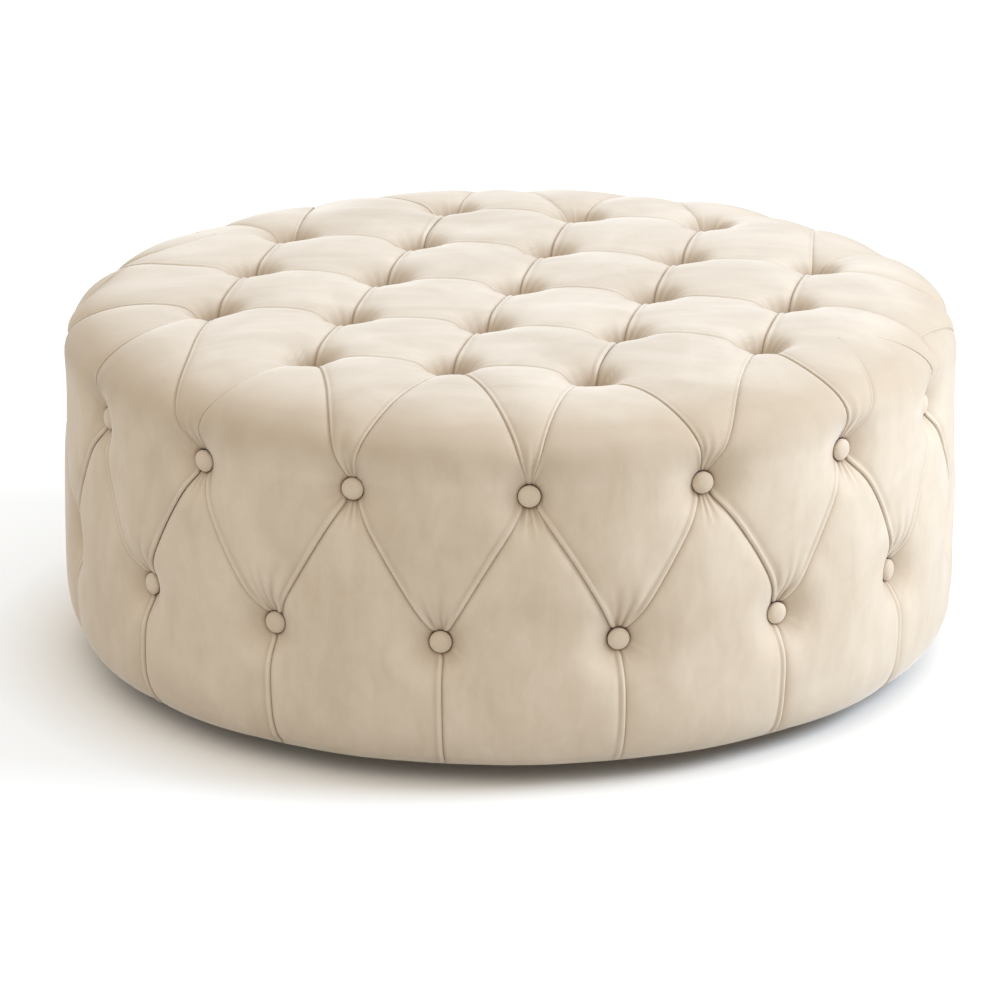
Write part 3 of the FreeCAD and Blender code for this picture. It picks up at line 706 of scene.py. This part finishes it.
class Tree:
    """A node tree whose nodes are added one by one."""

    def put(self, socket, value):
        if isinstance(value, Socket):
            self.tree.links.new(value.socket, socket)
        elif isinstance(value, (tuple, list)):
            socket.default_value = tuple(value) + (1.0,) * (len(socket.default_value) - len(value))
        else:
            socket.default_value = value

    def node(self, kind, values=None, out=0, curve=(), **settings):
        """A new node of a kind: its settings come first, then the values or links of its sockets."""
        made = self.tree.nodes.new(kind)
        for key, value in settings.items():
            setattr(made, key, value)
        if curve:
            bends = made.mapping.curves[0].points
            while len(bends) < len(curve):
                bends.new(0.5, 0.5)
            for bend, place in zip(bends, curve):
                bend.location = place
            made.mapping.update()
        for key, value in (values or {}).items():
            self.put(made.inputs[key], value)
        return Socket(self, made.outputs[out])

    def point(self, x=0.0, y=0.0, z=0.0):
        return self.node("ShaderNodeCombineXYZ", {0: x, 1: y, 2: z})


class Finish(Tree):
    """A material whose principled shader is fed by procedural nodes."""

    def __init__(self, name, **constants):
        self.material = bpy.data.materials.new(name)
        self.material.use_nodes = True
        self.tree = self.material.node_tree
        self.shader = self.tree.nodes["Principled BSDF"]
        self.where = self.node("ShaderNodeTexCoord", out="Object")
        for socket, value in constants.items():
            self.put(self.shader.inputs[socket.replace("_", " ")], value)

    def at(self, stretch, turn=(0, 0, 0)):
        """Places on the piece, squeezed and turned for a pattern with a grain."""
        if not stretch:
            return self.where
        return self.node("ShaderNodeMapping", {"Vector": self.where, "Scale": stretch, "Rotation": turn})

    def noise(self, scale, detail=2, rough=0.5, twist=0, stretch=None, turn=(0, 0, 0)):
        return self.node("ShaderNodeTexNoise", {"Vector": self.at(stretch, turn), "Scale": scale, "Detail": detail,
                                                "Roughness": rough, "Distortion": twist})

    def wave(self, scale, direction, twist, detail, detail_scale=1, stretch=None):
        return self.node("ShaderNodeTexWave", {"Vector": self.at(stretch), "Scale": scale, "Distortion": twist,
                                               "Detail": detail, "Detail Scale": detail_scale}, "Fac",
                         wave_type="BANDS", bands_direction=direction)

    def cells(self, scale, feature="F1", stretch=None):
        return self.node("ShaderNodeTexVoronoi", {"Vector": self.at(stretch), "Scale": scale}, "Distance",
                         feature=feature)

    def mix(self, factor, a, b):
        return self.node("ShaderNodeMix", {0: factor, 6: a, 7: b}, 2, data_type="RGBA", clamp_factor=True)

    def between(self, value, low, high, to_low=0, to_high=1):
        return self.node("ShaderNodeMapRange", dict(enumerate((value, low, high, to_low, to_high))))

    def blend(self, value, low, high, a, b):
        """Colour a where the value is low, turning to b where it is high."""
        return self.mix(self.between(value, low, high), a, b)

    def worn(self, low, high):
        """1 on worn convex edges, 0 elsewhere."""
        return self.between(self.node("ShaderNodeNewGeometry", out="Pointiness"), low, high)

    def dress(self, colour, rough, height=None, strength=0, distance=0):
        """Feed the shader and give back the material."""
        self.put(self.shader.inputs["Base Color"], colour)
        self.put(self.shader.inputs["Roughness"], rough)
        if height is not None:
            normal = self.node("ShaderNodeBump", {"Height": height, "Strength": strength, "Distance": distance})
            self.put(self.shader.inputs["Normal"], normal)
        return self.material


def scaled(colour, share):
    return tuple(part * share for part in colour)


# ---- finishes -------------------------------------------------------------------
# the velvet's tones, dark and light, on the side and on the top, where they are paler as painted light;
# painted shade over the shoulder, a painted highlight on a fold, painted shade in a pleat or round a button
SIDE_NAP = ((0.665, 0.562, 0.444), (0.795, 0.703, 0.592))
CROWN_NAP_AND_PAINTED_LIGHT = ((0.590, 0.515, 0.430), (0.800, 0.742, 0.668))
PAINTED_SHOULDER_SHADE, PAINTED_FOLD_HIGHLIGHT, PAINTED_CREASE_AND_WELL_SHADE = (0.52, 0.42, 0.315), (0.90, 0.84, 0.75), (0.36, 0.25, 0.165)


def velvet(name):
    """Cut velvet: soft patches where the nap lies another way; paler on the top as painted light, with painted shade
    and highlights on the shoulder, folds, pleats and wells.
    """
    made = Finish(name, Sheen_Weight=0.8, Sheen_Roughness=0.42, Sheen_Tint=(1, 0.985, 0.965),
                  Specular_IOR_Level=0.12)
    patches = made.noise(8, 3, 0.55, 0.8)
    streaks = made.noise(34, 3, 0.6, 0.4, (1, 1, 0.45))
    brushed = made.noise(15, 3, 0.55, 0.8, (0.35, 1.3, 1), (0, 0, 0.3))
    pile = made.noise(1400, 1)
    height = made.where.part("Z")
    # the top, where the streaks run another way and the tone is painted paler
    top = made.between(height, 0.375, 0.428)
    # a band round the shoulder, and the top's wells, where painted shade darkens the velvet
    shoulder = made.between(height, 0.345, 0.385) * made.between(height, 0.421, 0.403)
    # the nap's own tone, at random over the cloth
    nap = patches * 0.42 + (brushed * top + streaks * (1 - top)) * 0.36 + pile * 0.22
    tone = made.between(nap, 0.36, 0.64)
    # the painted light and shade that the cover keeps on its points
    painted_light = made.node("ShaderNodeAttribute", out="Fac", attribute_name="nap")
    # paler tones on the top: painted light, with the tone's own random mottling
    cloth = made.mix(top, made.mix(tone, *SIDE_NAP), made.mix(tone, *CROWN_NAP_AND_PAINTED_LIGHT))
    # painted shade over the shoulder
    cloth = made.mix(shoulder * 0.56, cloth, PAINTED_SHOULDER_SHADE)
    # painted highlight on folds and on the ridges of small folds
    cloth = made.mix(made.between(painted_light, 0, 1, 0, 0.42), cloth, PAINTED_FOLD_HIGHLIGHT)
    # painted shade in pleats, in the hollows of small folds and round the buttons
    cloth = made.blend(painted_light, 0, -2, cloth, PAINTED_CREASE_AND_WELL_SHADE)
    return made.dress(cloth, 0.88 - tone * 0.10, pile * 0.6 + streaks * 0.4, 0.16, 0.0006)


def timber(name, dark, light):
    """Planed wood with long grain, pores and a few darker growth lines."""
    made = Finish(name, Specular_IOR_Level=0.35)
    lines = made.wave(9, "Y", 5, 3, 1.6)
    fibre = made.noise(12, 4, 0.6, stretch=(1, 22, 22))
    pores = made.noise(9, stretch=(4, 110, 110))
    colour = made.blend(lines * 0.45 + fibre * 0.55, 0.25, 0.8, light, dark)
    colour = made.mix(made.between(pores, 0.60, 0.72) * 0.5, colour, scaled(dark, 0.55))
    return made.dress(colour, 0.62 + fibre * 0.14, fibre * 0.5 + pores * 0.5, 0.25, 0.0004)


def plywood(name, bent=False):
    """Birch veneer faces, with the glued layers showing in cut edges; bent, its grain stands up round a wall."""
    made = Finish(name, Specular_IOR_Level=0.35)
    level = made.node("ShaderNodeNewGeometry", out="True Normal").part("Z").math("ABSOLUTE")
    if bent:
        x, y, z = (made.where.part(axis) for axis in "XYZ")
        made.where = made.point(y.math("ARCTAN2", x) * BENT_WALL_R, (x * x + y * y) ** 0.5, z)
        fibre = made.noise(9, 4, 0.6, stretch=(60, 60, 3))
        flame = made.noise(3.4, 4, 0.62, 1.6, (9, 9, 1))
        layer, is_edge = made.wave(210, "Y", 0.3, 1), made.between(level, 0.5, 0.95)
    else:
        fibre = made.noise(9, 4, 0.6, stretch=(3, 60, 3))
        flame = made.wave(3.2, "Y", 7, 3, 0.9, (1, 3, 1))
        layer, is_edge = made.wave(210, "Z", 0.3, 1), made.between(level, 0.5, 0.05)
    face = made.blend(fibre * 0.6 + flame * 0.4, 0.25, 0.8, (0.70, 0.52, 0.335), (0.50, 0.335, 0.185))
    edge = made.blend(layer, 0.35, 0.65, (0.56, 0.40, 0.235), (0.30, 0.185, 0.095))
    return made.dress(made.mix(is_edge * 0.8, face, edge), 0.58 + fibre * 0.16, fibre + layer * is_edge, 0.2, 0.0004)


def painted(name, colour, bare):
    """Black lacquer over close-grained wood, rubbed at its edges."""
    made = Finish(name, Coat_Weight=0.15, Coat_Roughness=0.3)
    fibre, cloud = made.noise(10, 3, stretch=(30, 30, 3)), made.noise(25, 3)
    rub = made.worn(0.54, 0.60) * made.between(made.noise(60, 3), 0.45, 0.6)
    tone = made.mix(cloud, scaled(colour, 0.8), scaled(colour, 1.5))
    return made.dress(made.mix(rub * 0.7, tone, bare), 0.4 + cloud * 0.15, fibre, 0.12, 0.0004)


def moulded(name, dark, light, rough, grain=900, glow=0):
    """Moulded rubber or nylon with a fine spark texture and a soft cloudy tone."""
    made = Finish(name, Subsurface_Weight=glow)
    spark, cloud = made.noise(grain), made.noise(40, 3)
    tone = made.blend(cloud * 0.7 + spark * 0.3, 0.35, 0.65, dark, light)
    return made.dress(tone, rough + spark * 0.2, spark, 0.2, 0.0003)


def plated(name, dark, light):
    """Zinc plate with its pale spangle and brushed turning marks."""
    made = Finish(name, Metallic=1)
    spangle, brushed = made.cells(420), made.noise(700, stretch=(1, 1, 12))
    tone = made.blend(spangle * 0.5 + brushed * 0.5, 0.2, 0.7, dark, light)
    return made.dress(tone, 0.28 + brushed * 0.22, brushed, 0.15, 0.0002)


def felted(name, dark, light):
    """Pressed wool felt: fibres lying every way."""
    made = Finish(name, Sheen_Weight=0.25, Sheen_Roughness=0.6, Specular_IOR_Level=0.1)
    fibres = made.noise(160, 3, 0.7, 1.2, (9, 1, 3), (0.3, 0.2, 0.6)).math(
        "MAXIMUM", made.noise(160, 3, 0.7, 1.2, (1, 9, 3), (0.1, 0.4, -0.5)))
    return made.dress(made.blend(fibres, 0.42, 0.72, dark, light), 0.92, fibres, 0.5, 0.0008)


def woven(name, warp_colour, weft_colour, threads, sheen=0.15, flat=False):
    """Plain weave, one over one under; the threads run round the drum and up it, or flat across."""
    made = Finish(name, Sheen_Weight=sheen, Sheen_Roughness=0.5, Specular_IOR_Level=0.15)
    x, y, z = (made.where.part(axis) for axis in "XYZ")
    across, along = (x, y) if flat else (y.math("ARCTAN2", x) * LINING_R, z)
    warp, weft = ((way * (2 * math.pi * threads)).math("SINE") for way in (across, along))
    over = made.between(warp * weft, -0.5, 0.5)
    slub, cloud = made.noise(70, 3, 0.6, stretch=(1, 1, 14)), made.noise(11, 3)
    soil = made.between(slub * 0.5 + cloud * 0.5, 0.38, 0.64) * 0.35
    tone = made.mix(soil, made.mix(over, warp_colour, weft_colour), scaled(warp_colour, 0.72))
    return made.dress(tone, 0.86 + slub * 0.1, over * 0.6 + slub * 0.4, 0.4, 0.0006)


def hide(name, dark, light):
    """Vegetable-tanned leather: pebbled grain, darker creases and burnished edges."""
    made = Finish(name, Specular_IOR_Level=0.4, Coat_Weight=0.08, Coat_Roughness=0.35)
    pebble, crease = made.cells(620, "SMOOTH_F1"), made.cells(190, "DISTANCE_TO_EDGE", (1, 1, 1.6))
    cloud = made.noise(18, 4, 0.6)
    tone = made.blend(cloud, 0.35, 0.65, dark, light)
    tone = made.mix(made.between(crease, 0.03, 0) * 0.5, tone, (0.11, 0.045, 0.02))
    tone = made.mix(made.worn(0.53, 0.60) * 0.5, tone, (0.13, 0.052, 0.024))
    return made.dress(tone, 0.42 + cloud * 0.2, made.between(crease, 0, 0.05) * 0.5 + pebble * 0.5, 0.35, 0.0005)


def foam(name, dark, light):
    """Open-cell foam, yellowed a little."""
    made = Finish(name, Subsurface_Weight=0.05, Specular_IOR_Level=0.1)
    cell, cloud = made.cells(700), made.noise(9, 3)
    tone = made.blend(cloud, 0.35, 0.65, dark, light)
    return made.dress(made.mix(cell * 0.5, (0.55, 0.47, 0.28), tone), 0.95, cell, 0.5, 0.0008)


def twisted(name, dark, light, lay):
    """Laid twine or thread: its strands wind round it."""
    made = Finish(name, Sheen_Weight=0.1, Specular_IOR_Level=0.2)
    strands, fuzz = made.wave(lay, "DIAGONAL", 1.2, 2, 2), made.noise(900)
    return made.dress(made.mix(strands * 0.7 + fuzz * 0.3, dark, light), 0.8, strands, 0.5, 0.0003)


FINISHES = {name: make(name, *given) for name, make, *given in (
    ("cream_velvet", velvet),
    ("birch_ply", plywood),
    ("bent_birch_ply", plywood, True),
    ("pine", timber, (0.46, 0.265, 0.105), (0.72, 0.50, 0.275)),
    ("black_beech", painted, (0.012, 0.011, 0.010), (0.16, 0.095, 0.055)),
    ("glide_rubber", moulded, (0.018, 0.018, 0.018), (0.05, 0.049, 0.047), 0.65),
    ("zinc_steel", plated, (0.50, 0.50, 0.49), (0.74, 0.74, 0.75)),
    ("grey_felt", felted, (0.085, 0.085, 0.082), (0.22, 0.215, 0.205)),
    ("cotton_lining", woven, (0.52, 0.43, 0.32), (0.66, 0.57, 0.45), 620),
    ("tan_leather", hide, (0.225, 0.098, 0.040), (0.355, 0.172, 0.078)),
    ("upholstery_foam", foam, (0.78, 0.70, 0.47), (0.84, 0.79, 0.62)),
    ("black_tape", woven, (0.012, 0.012, 0.012), (0.035, 0.034, 0.032), 900, 0.1, True),
    ("linen_twine", twisted, (0.34, 0.26, 0.16), (0.62, 0.52, 0.36), 900),
    ("nylon_toggle", moulded, (0.62, 0.60, 0.54), (0.78, 0.76, 0.70), 0.35, 1200, 0.1),
    ("waxed_thread", twisted, (0.50, 0.38, 0.22), (0.80, 0.68, 0.48), 1400))}


# ---- the padded cover -------------------------------------------------------------
def linked(name, mesh):
    made = bpy.data.objects.new(name, mesh)
    bpy.context.scene.collection.objects.link(made)
    return made


def facing_out(mesh, weld=None):
    """Merge a mesh's doubles, where asked, and turn its faces outwards."""
    bm = bmesh.new()
    bm.from_mesh(mesh)
    if weld:
        bmesh.ops.remove_doubles(bm, verts=bm.verts, dist=weld)
    bmesh.ops.recalc_face_normals(bm, faces=bm.faces)
    bm.to_mesh(mesh)
    bm.free()


def close_under(points, ring):
    """Rows that carry the cover under the hem, up the frame and over its deck."""
    columns = len(ring)
    turn = np.arctan2(points[ring, 1], points[ring, 0])
    fold = [(float(np.interp(s, RUN, OUT_R)), float(np.interp(s, RUN, OUT_Z)))
            for s in np.linspace(HEM_RUN, RUN[-1], 9)[1:]]
    inside = [(OUT_R[-1], HEM + 0.0022), (HEM_RING_R, HEM + 0.0022), (HEM_RING_R, HEM + 0.0145),
              (FRAME_R, HEM + 0.0145), (FRAME_R, DECK_TOP), (0.2, DECK_TOP)]
    below = np.array([[(r * math.cos(t), r * math.sin(t), z) for t in turn] for r, z in fold + inside])
    rows = [ring] + [len(points) + np.arange(columns) + columns * k for k in range(len(fold + inside))]
    added = np.vstack([np.stack([a, b, np.roll(b, -1), np.roll(a, -1)], 1) for a, b in zip(rows, rows[1:])])
    points = np.vstack([points, below.reshape(-1, 3), [[0, 0, DECK_TOP]]])
    middle = len(points) - 1
    fan = [(int(a), middle, int(b)) for a, b in zip(rows[-1], np.roll(rows[-1], -1))]
    return points, added, fan


def padded_cover():
    points, faces, ring, nap = buttoned_cover()
    points, added, fan = close_under(points, ring)
    every = [tuple(dict.fromkeys(map(int, face))) for face in np.vstack([faces, added])] + fan
    mesh = bpy.data.meshes.new("velvet_cover")
    mesh.from_pydata([tuple(p) for p in points], [], [face for face in every if len(face) > 2])
    mesh.materials.append(FINISHES["cream_velvet"])
    # the painted light and shade are kept on the points for the velvet to read
    shade = mesh.attributes.new("nap", "FLOAT", "POINT")
    shade.data.foreach_set("value", np.r_[nap, np.zeros(len(points) - len(nap))])
    facing_out(mesh, weld=1e-6)
    mesh.polygons.foreach_set("use_smooth", [True] * len(mesh.polygons))
    return linked("velvet_cover", mesh)


cover = padded_cover()
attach(cover, "hood")
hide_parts("cover_top", "cover_panels", "top_foam", "side_foam")


# ---- repeated pieces, by geometry nodes --------------------------------------------
class Pattern(Tree):
    """A geometry tree with named inputs, run once on a base mesh and turned into a plain mesh."""

    def __init__(self, name, sizes):
        self.name, self.sizes = name, sizes
        self.tree = bpy.data.node_groups.new(name, "GeometryNodeTree")
        sockets = [("Geometry", "INPUT", "Geometry"), ("Geometry", "OUTPUT", "Geometry")]
        sockets += [(key, "INPUT", "Int" if isinstance(value, int) else "Float") for key, value in sizes.items()]
        for key, way, kind in sockets:
            self.tree.interface.new_socket(name=key, in_out=way, socket_type="NodeSocket" + kind)
        self.start = self.tree.nodes.new("NodeGroupInput")

    def given(self, key):
        return Socket(self, self.start.outputs[key])

    def way(self, name):
        """A direction that the base mesh carries for each of its points."""
        return self.node("GeometryNodeInputNamedAttribute", {"Name": name}, data_type="FLOAT_VECTOR")

    def set_out(self, shape, turned, low, high):
        """Copies of a shape on the base's points, each turned and a little askew, at random from low to high."""
        lean = self.node("FunctionNodeRandomValue", {
            "Min": self.point(*low), "Max": self.point(*high), "Seed": self.given("Seed")}, data_type="FLOAT_VECTOR")
        lean = self.node("FunctionNodeEulerToRotation", {"Euler": lean})
        turned = self.node("FunctionNodeRotateRotation", {"Rotation": turned, "Rotate By": lean},
                           rotation_space="LOCAL")
        return self.node("GeometryNodeInstanceOnPoints", {
            "Points": self.given("Geometry"), "Instance": shape, "Rotation": turned})

    def made_real(self, copies, finish, base):
        """Realized, given its finish and turned into an object."""
        real = self.node("GeometryNodeRealizeInstances", {0: copies})
        real = self.node("GeometryNodeSetShadeSmooth", {"Geometry": real, "Shade Smooth": True})
        done = self.node("GeometryNodeSetMaterial", {"Geometry": real, "Material": finish})
        end = self.tree.nodes.new("NodeGroupOutput")
        self.tree.links.new(done.socket, end.inputs["Geometry"])
        modifier = base.modifiers.new(self.name, "NODES")
        modifier.node_group = self.tree
        for item in self.tree.interface.items_tree:
            if item.in_out == "INPUT" and item.name in self.sizes:
                modifier[item.identifier] = self.sizes[item.name]
        graph = bpy.context.evaluated_depsgraph_get()
        mesh = bpy.data.meshes.new_from_object(base.evaluated_get(graph), preserve_all_data_layers=False,
                                               depsgraph=graph)
        mesh.name = self.name
        bpy.data.objects.remove(base)
        if not mesh.materials:
            mesh.materials.append(finish)
        facing_out(mesh)
        return linked(self.name, mesh)


def points_object(name, places, **ways):
    """A base of loose points, with the directions that its copies are turned by."""
    mesh = bpy.data.meshes.new(name)
    mesh.from_pydata([tuple(p) for p in places], [], [])
    for key, vectors in ways.items():
        way = mesh.attributes.new(key, "FLOAT_VECTOR", "POINT")
        way.data.foreach_set("vector", np.asarray(vectors, float).ravel())
    return linked(name, mesh)


# a button's section from the middle of its face, over the groove and the rim, to its back:
# how far along, and its share of the radius and of the height
BUTTON_SECTION = ((0, 0, 1), (0.25, 0.40, 0.955), (0.45, 0.72, 0.83), (0.60, 0.88, 0.66),
                  (0.72, 0.985, 0.50), (0.80, 1.0, 0.30), (0.90, 0.93, 0.04), (1, 0, 0))


def covered_buttons():
    """Cloth-covered buttons, domed, each set a little askew."""
    seats = [seat(node) for node in BUTTONS]
    base = points_object("button_seats", [s[0] for s in seats], facing=[s[1] for s in seats])
    plan = Pattern("covered_buttons", {"Radius": BUTTON_R * 0.97, "Height": 0.0092, "Askew": math.radians(4.0),
                                       "Around": 37, "Seed": 11})
    sheet = plan.node("GeometryNodeMeshGrid", {"Size X": 1, "Size Y": 1, "Vertices X": plan.given("Around"),
                                               "Vertices Y": 17})
    where = plan.node("GeometryNodeInputPosition")
    turn, t = (where.part("X") + 0.5) * (2 * math.pi), where.part("Y") + 0.5
    reach, rise = (plan.node("ShaderNodeFloatCurve", {"Value": t}, curve=[(row[0], row[column])
                                                                          for row in BUTTON_SECTION])
                   for column in (1, 2))
    reach = reach * plan.given("Radius")
    shape = plan.node("GeometryNodeSetPosition", {"Geometry": sheet, "Position": plan.point(
        reach * turn.math("COSINE"), reach * turn.math("SINE"), rise * plan.given("Height"))})
    shape = plan.node("GeometryNodeMergeByDistance", {"Geometry": shape, "Distance": 0.00002})
    turned = plan.node("FunctionNodeAlignRotationToVector", {"Vector": plan.way("facing")}, axis="Z")
    askew = plan.given("Askew")
    copies = plan.set_out(shape, turned, (askew * -1, askew * -1, -3.1), (askew, askew, 3.1))
    return plan.made_real(copies, FINISHES["cream_velvet"], base)


def hoop_of_wires(name, finish, count, first, rows, sizes):
    """Short wires side by side round the drum: their middles are proud and their ends go into the work.
    Each row has its radius, its height, and how far outwards and upwards its wires face."""
    turns = first + np.arange(count) * 2 * math.pi / count
    spots = [(row, math.cos(t), math.sin(t)) for row in rows for t in turns]
    base = points_object(name + "_line", [(r * c, r * s, z) for (r, z, _, _), c, s in spots],
                         facing=[(out * c, out * s, up) for (_, _, out, up), c, s in spots],
                         along=[(-s, c, 0) for _, c, s in spots])
    plan = Pattern(name, sizes)
    reach = plan.given("Length") * 0.5
    line = plan.node("GeometryNodeCurvePrimitiveLine", {"Start": plan.point(reach * -1), "End": plan.point(reach)},
                     mode="POINTS")
    line = plan.node("GeometryNodeResampleCurve", {"Curve": line, "Count": 6}, mode="COUNT")
    bend = (plan.node("GeometryNodeInputPosition").part("X") / reach) ** 6 * plan.given("Bend")
    line = plan.node("GeometryNodeSetPosition", {"Geometry": line, "Offset": plan.point(0.0, 0.0, bend * -1)})
    ring = plan.node("GeometryNodeCurvePrimitiveCircle", {"Resolution": 5, "Radius": plan.given("Thickness") * 0.5},
                     mode="RADIUS")
    wire = plan.node("GeometryNodeCurveToMesh", {"Curve": line, "Profile Curve": ring, "Fill Caps": True})
    turned = plan.node("FunctionNodeAxesToRotation", {"Primary Axis": plan.way("facing"),
                                                      "Secondary Axis": plan.way("along")},
                       primary_axis="Z", secondary_axis="X")
    askew = plan.given("Askew")
    copies = plan.set_out(wire, turned, (0.0, 0.0, askew * -1), (0.0, 0.0, askew))
    return plan.made_real(copies, finish, base)


TAPE_LOW, TAPE_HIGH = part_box("hem_tape")
TAPE_WIDTH, STAPLE_SUNK = 0.015, 0.0003
staples = hoop_of_wires("hem_staples", FINISHES["zinc_steel"], 116, 0.01,
                        [(TAPE_HIGH.x - TAPE_WIDTH / 2, TAPE_LOW.z - STAPLE_SUNK, 0, -1)],
                        {"Length": 0.0100, "Thickness": 0.0012, "Bend": 0.0011, "Askew": math.radians(9.0),
                         "Seed": 5})
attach(staples, "hood")

BINDING_LOW, BINDING_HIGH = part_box("bin_rim_binding")
BINDING_T = 0.0122        # from the binding's outer face to its inner one
STITCH_Z = BINDING_LOW.z + 0.0035
stitches = hoop_of_wires("binding_stitches", FINISHES["waxed_thread"], 288, 0.0,
                         [(BINDING_HIGH.x, STITCH_Z, 1, 0), (BINDING_HIGH.x - BINDING_T, STITCH_Z, -1, 0)],
                         {"Length": 0.0062, "Thickness": 0.0010, "Bend": 0.0009, "Askew": math.radians(3.0),
                          "Seed": 7})
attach(stitches, "base")

buttons = covered_buttons()
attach(buttons, "hood")
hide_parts("top_buttons", "upper_side_buttons", "lower_side_buttons")

# ---- finishes of the frame's own parts ----------------------------------------------
BENT_WALLS = ("bin_wall", "hood_wall")
SLOT_OF = {part["node"]: part["material_slot"] for part in frame["record"]["subparts"]}
for node, made in frame["nodes"].items():
    finish = FINISHES["bent_birch_ply" if node in BENT_WALLS else SLOT_OF[node]]
    for slot in made.material_slots:
        slot.material = finish
    if not made.material_slots:
        made.data.materials.append(finish)

# ---- floor, light and camera --------------------------------------------------------
FLOOR_TONE, FLOOR_SEEN = (0.58, 0.57, 0.55), (1.0, 1.0, 1.0)
# the floor's glow is left out within the first radius, a painted shade under the hem, and fades in to full by the
# second
PAINTED_SHADE_R, PAINTED_SHADE_FADE_R = 0.50, 0.62      # out from the middle of the floor
bpy.ops.mesh.primitive_plane_add(size=40, location=(0, 0, 0))
floor = bpy.context.object
floor.name = "floor"
ground = Finish("pale_floor", Specular_IOR_Level=0.0, Emission_Strength=1.0)
camera_ray, glossy, through = (ground.node("ShaderNodeLightPath", out=ray) for ray in
                               ("Is Camera Ray", "Is Glossy Ray", "Is Transmission Ray"))
seen = camera_ray.math("MAXIMUM", glossy.math("MAXIMUM", through))
out_from_middle = ground.node("ShaderNodeVectorMath", {0: ground.where}, "Value", operation="LENGTH")
# no glow near the middle: painted shade on the floor under the hem, fading out by the outer radius
glow = seen * ground.between(out_from_middle, PAINTED_SHADE_R, PAINTED_SHADE_FADE_R)
ground.put(ground.shader.inputs["Emission Color"], ground.mix(glow, (0.0, 0.0, 0.0), FLOOR_GLOW))
ground.dress(ground.mix(seen, FLOOR_TONE, FLOOR_SEEN), 0.95)
floor.data.materials.append(ground.material)

world = bpy.data.worlds.new("studio")
bpy.context.scene.world = world
world.use_nodes = True
sky = world.node_tree.nodes["Background"].inputs
sky["Color"].default_value = (*WORLD_COLOUR, 1)
sky["Strength"].default_value = WORLD_LIGHT


def aimed(made, at, target):
    """Put a lamp or the camera in its place, looking at the target."""
    bpy.context.scene.collection.objects.link(made)
    made.location = at
    made.rotation_mode = "QUATERNION"
    made.rotation_quaternion = (Vector(target) - Vector(at)).to_track_quat("-Z", "Y")
    return made


key_data = bpy.data.lights.new("key", "AREA")
key_data.shape, key_data.size, key_data.energy, key_data.color = "DISK", KEY_SIZE, KEY_POWER, KEY_COLOUR
aimed(bpy.data.objects.new("key", key_data), KEY_AT, (0, 0, 0.2))

AIM, AWAY = Vector((-0.0122, 0, 0.1642)), 6.39
TILT, ROLL = math.radians(18.38), math.radians(-0.32)
camera_data = bpy.data.cameras.new("camera")
camera_data.sensor_width, camera_data.lens, camera_data.clip_end = 36.0, 198.5, 50
camera = aimed(bpy.data.objects.new("camera", camera_data),
               AIM + AWAY * Vector((0, -math.cos(TILT), math.sin(TILT))), AIM)
camera.rotation_quaternion = camera.rotation_quaternion @ Matrix.Rotation(ROLL, 3, "Z").to_quaternion()
bpy.context.scene.camera = camera
bpy.context.scene.view_settings.view_transform = "Standard"
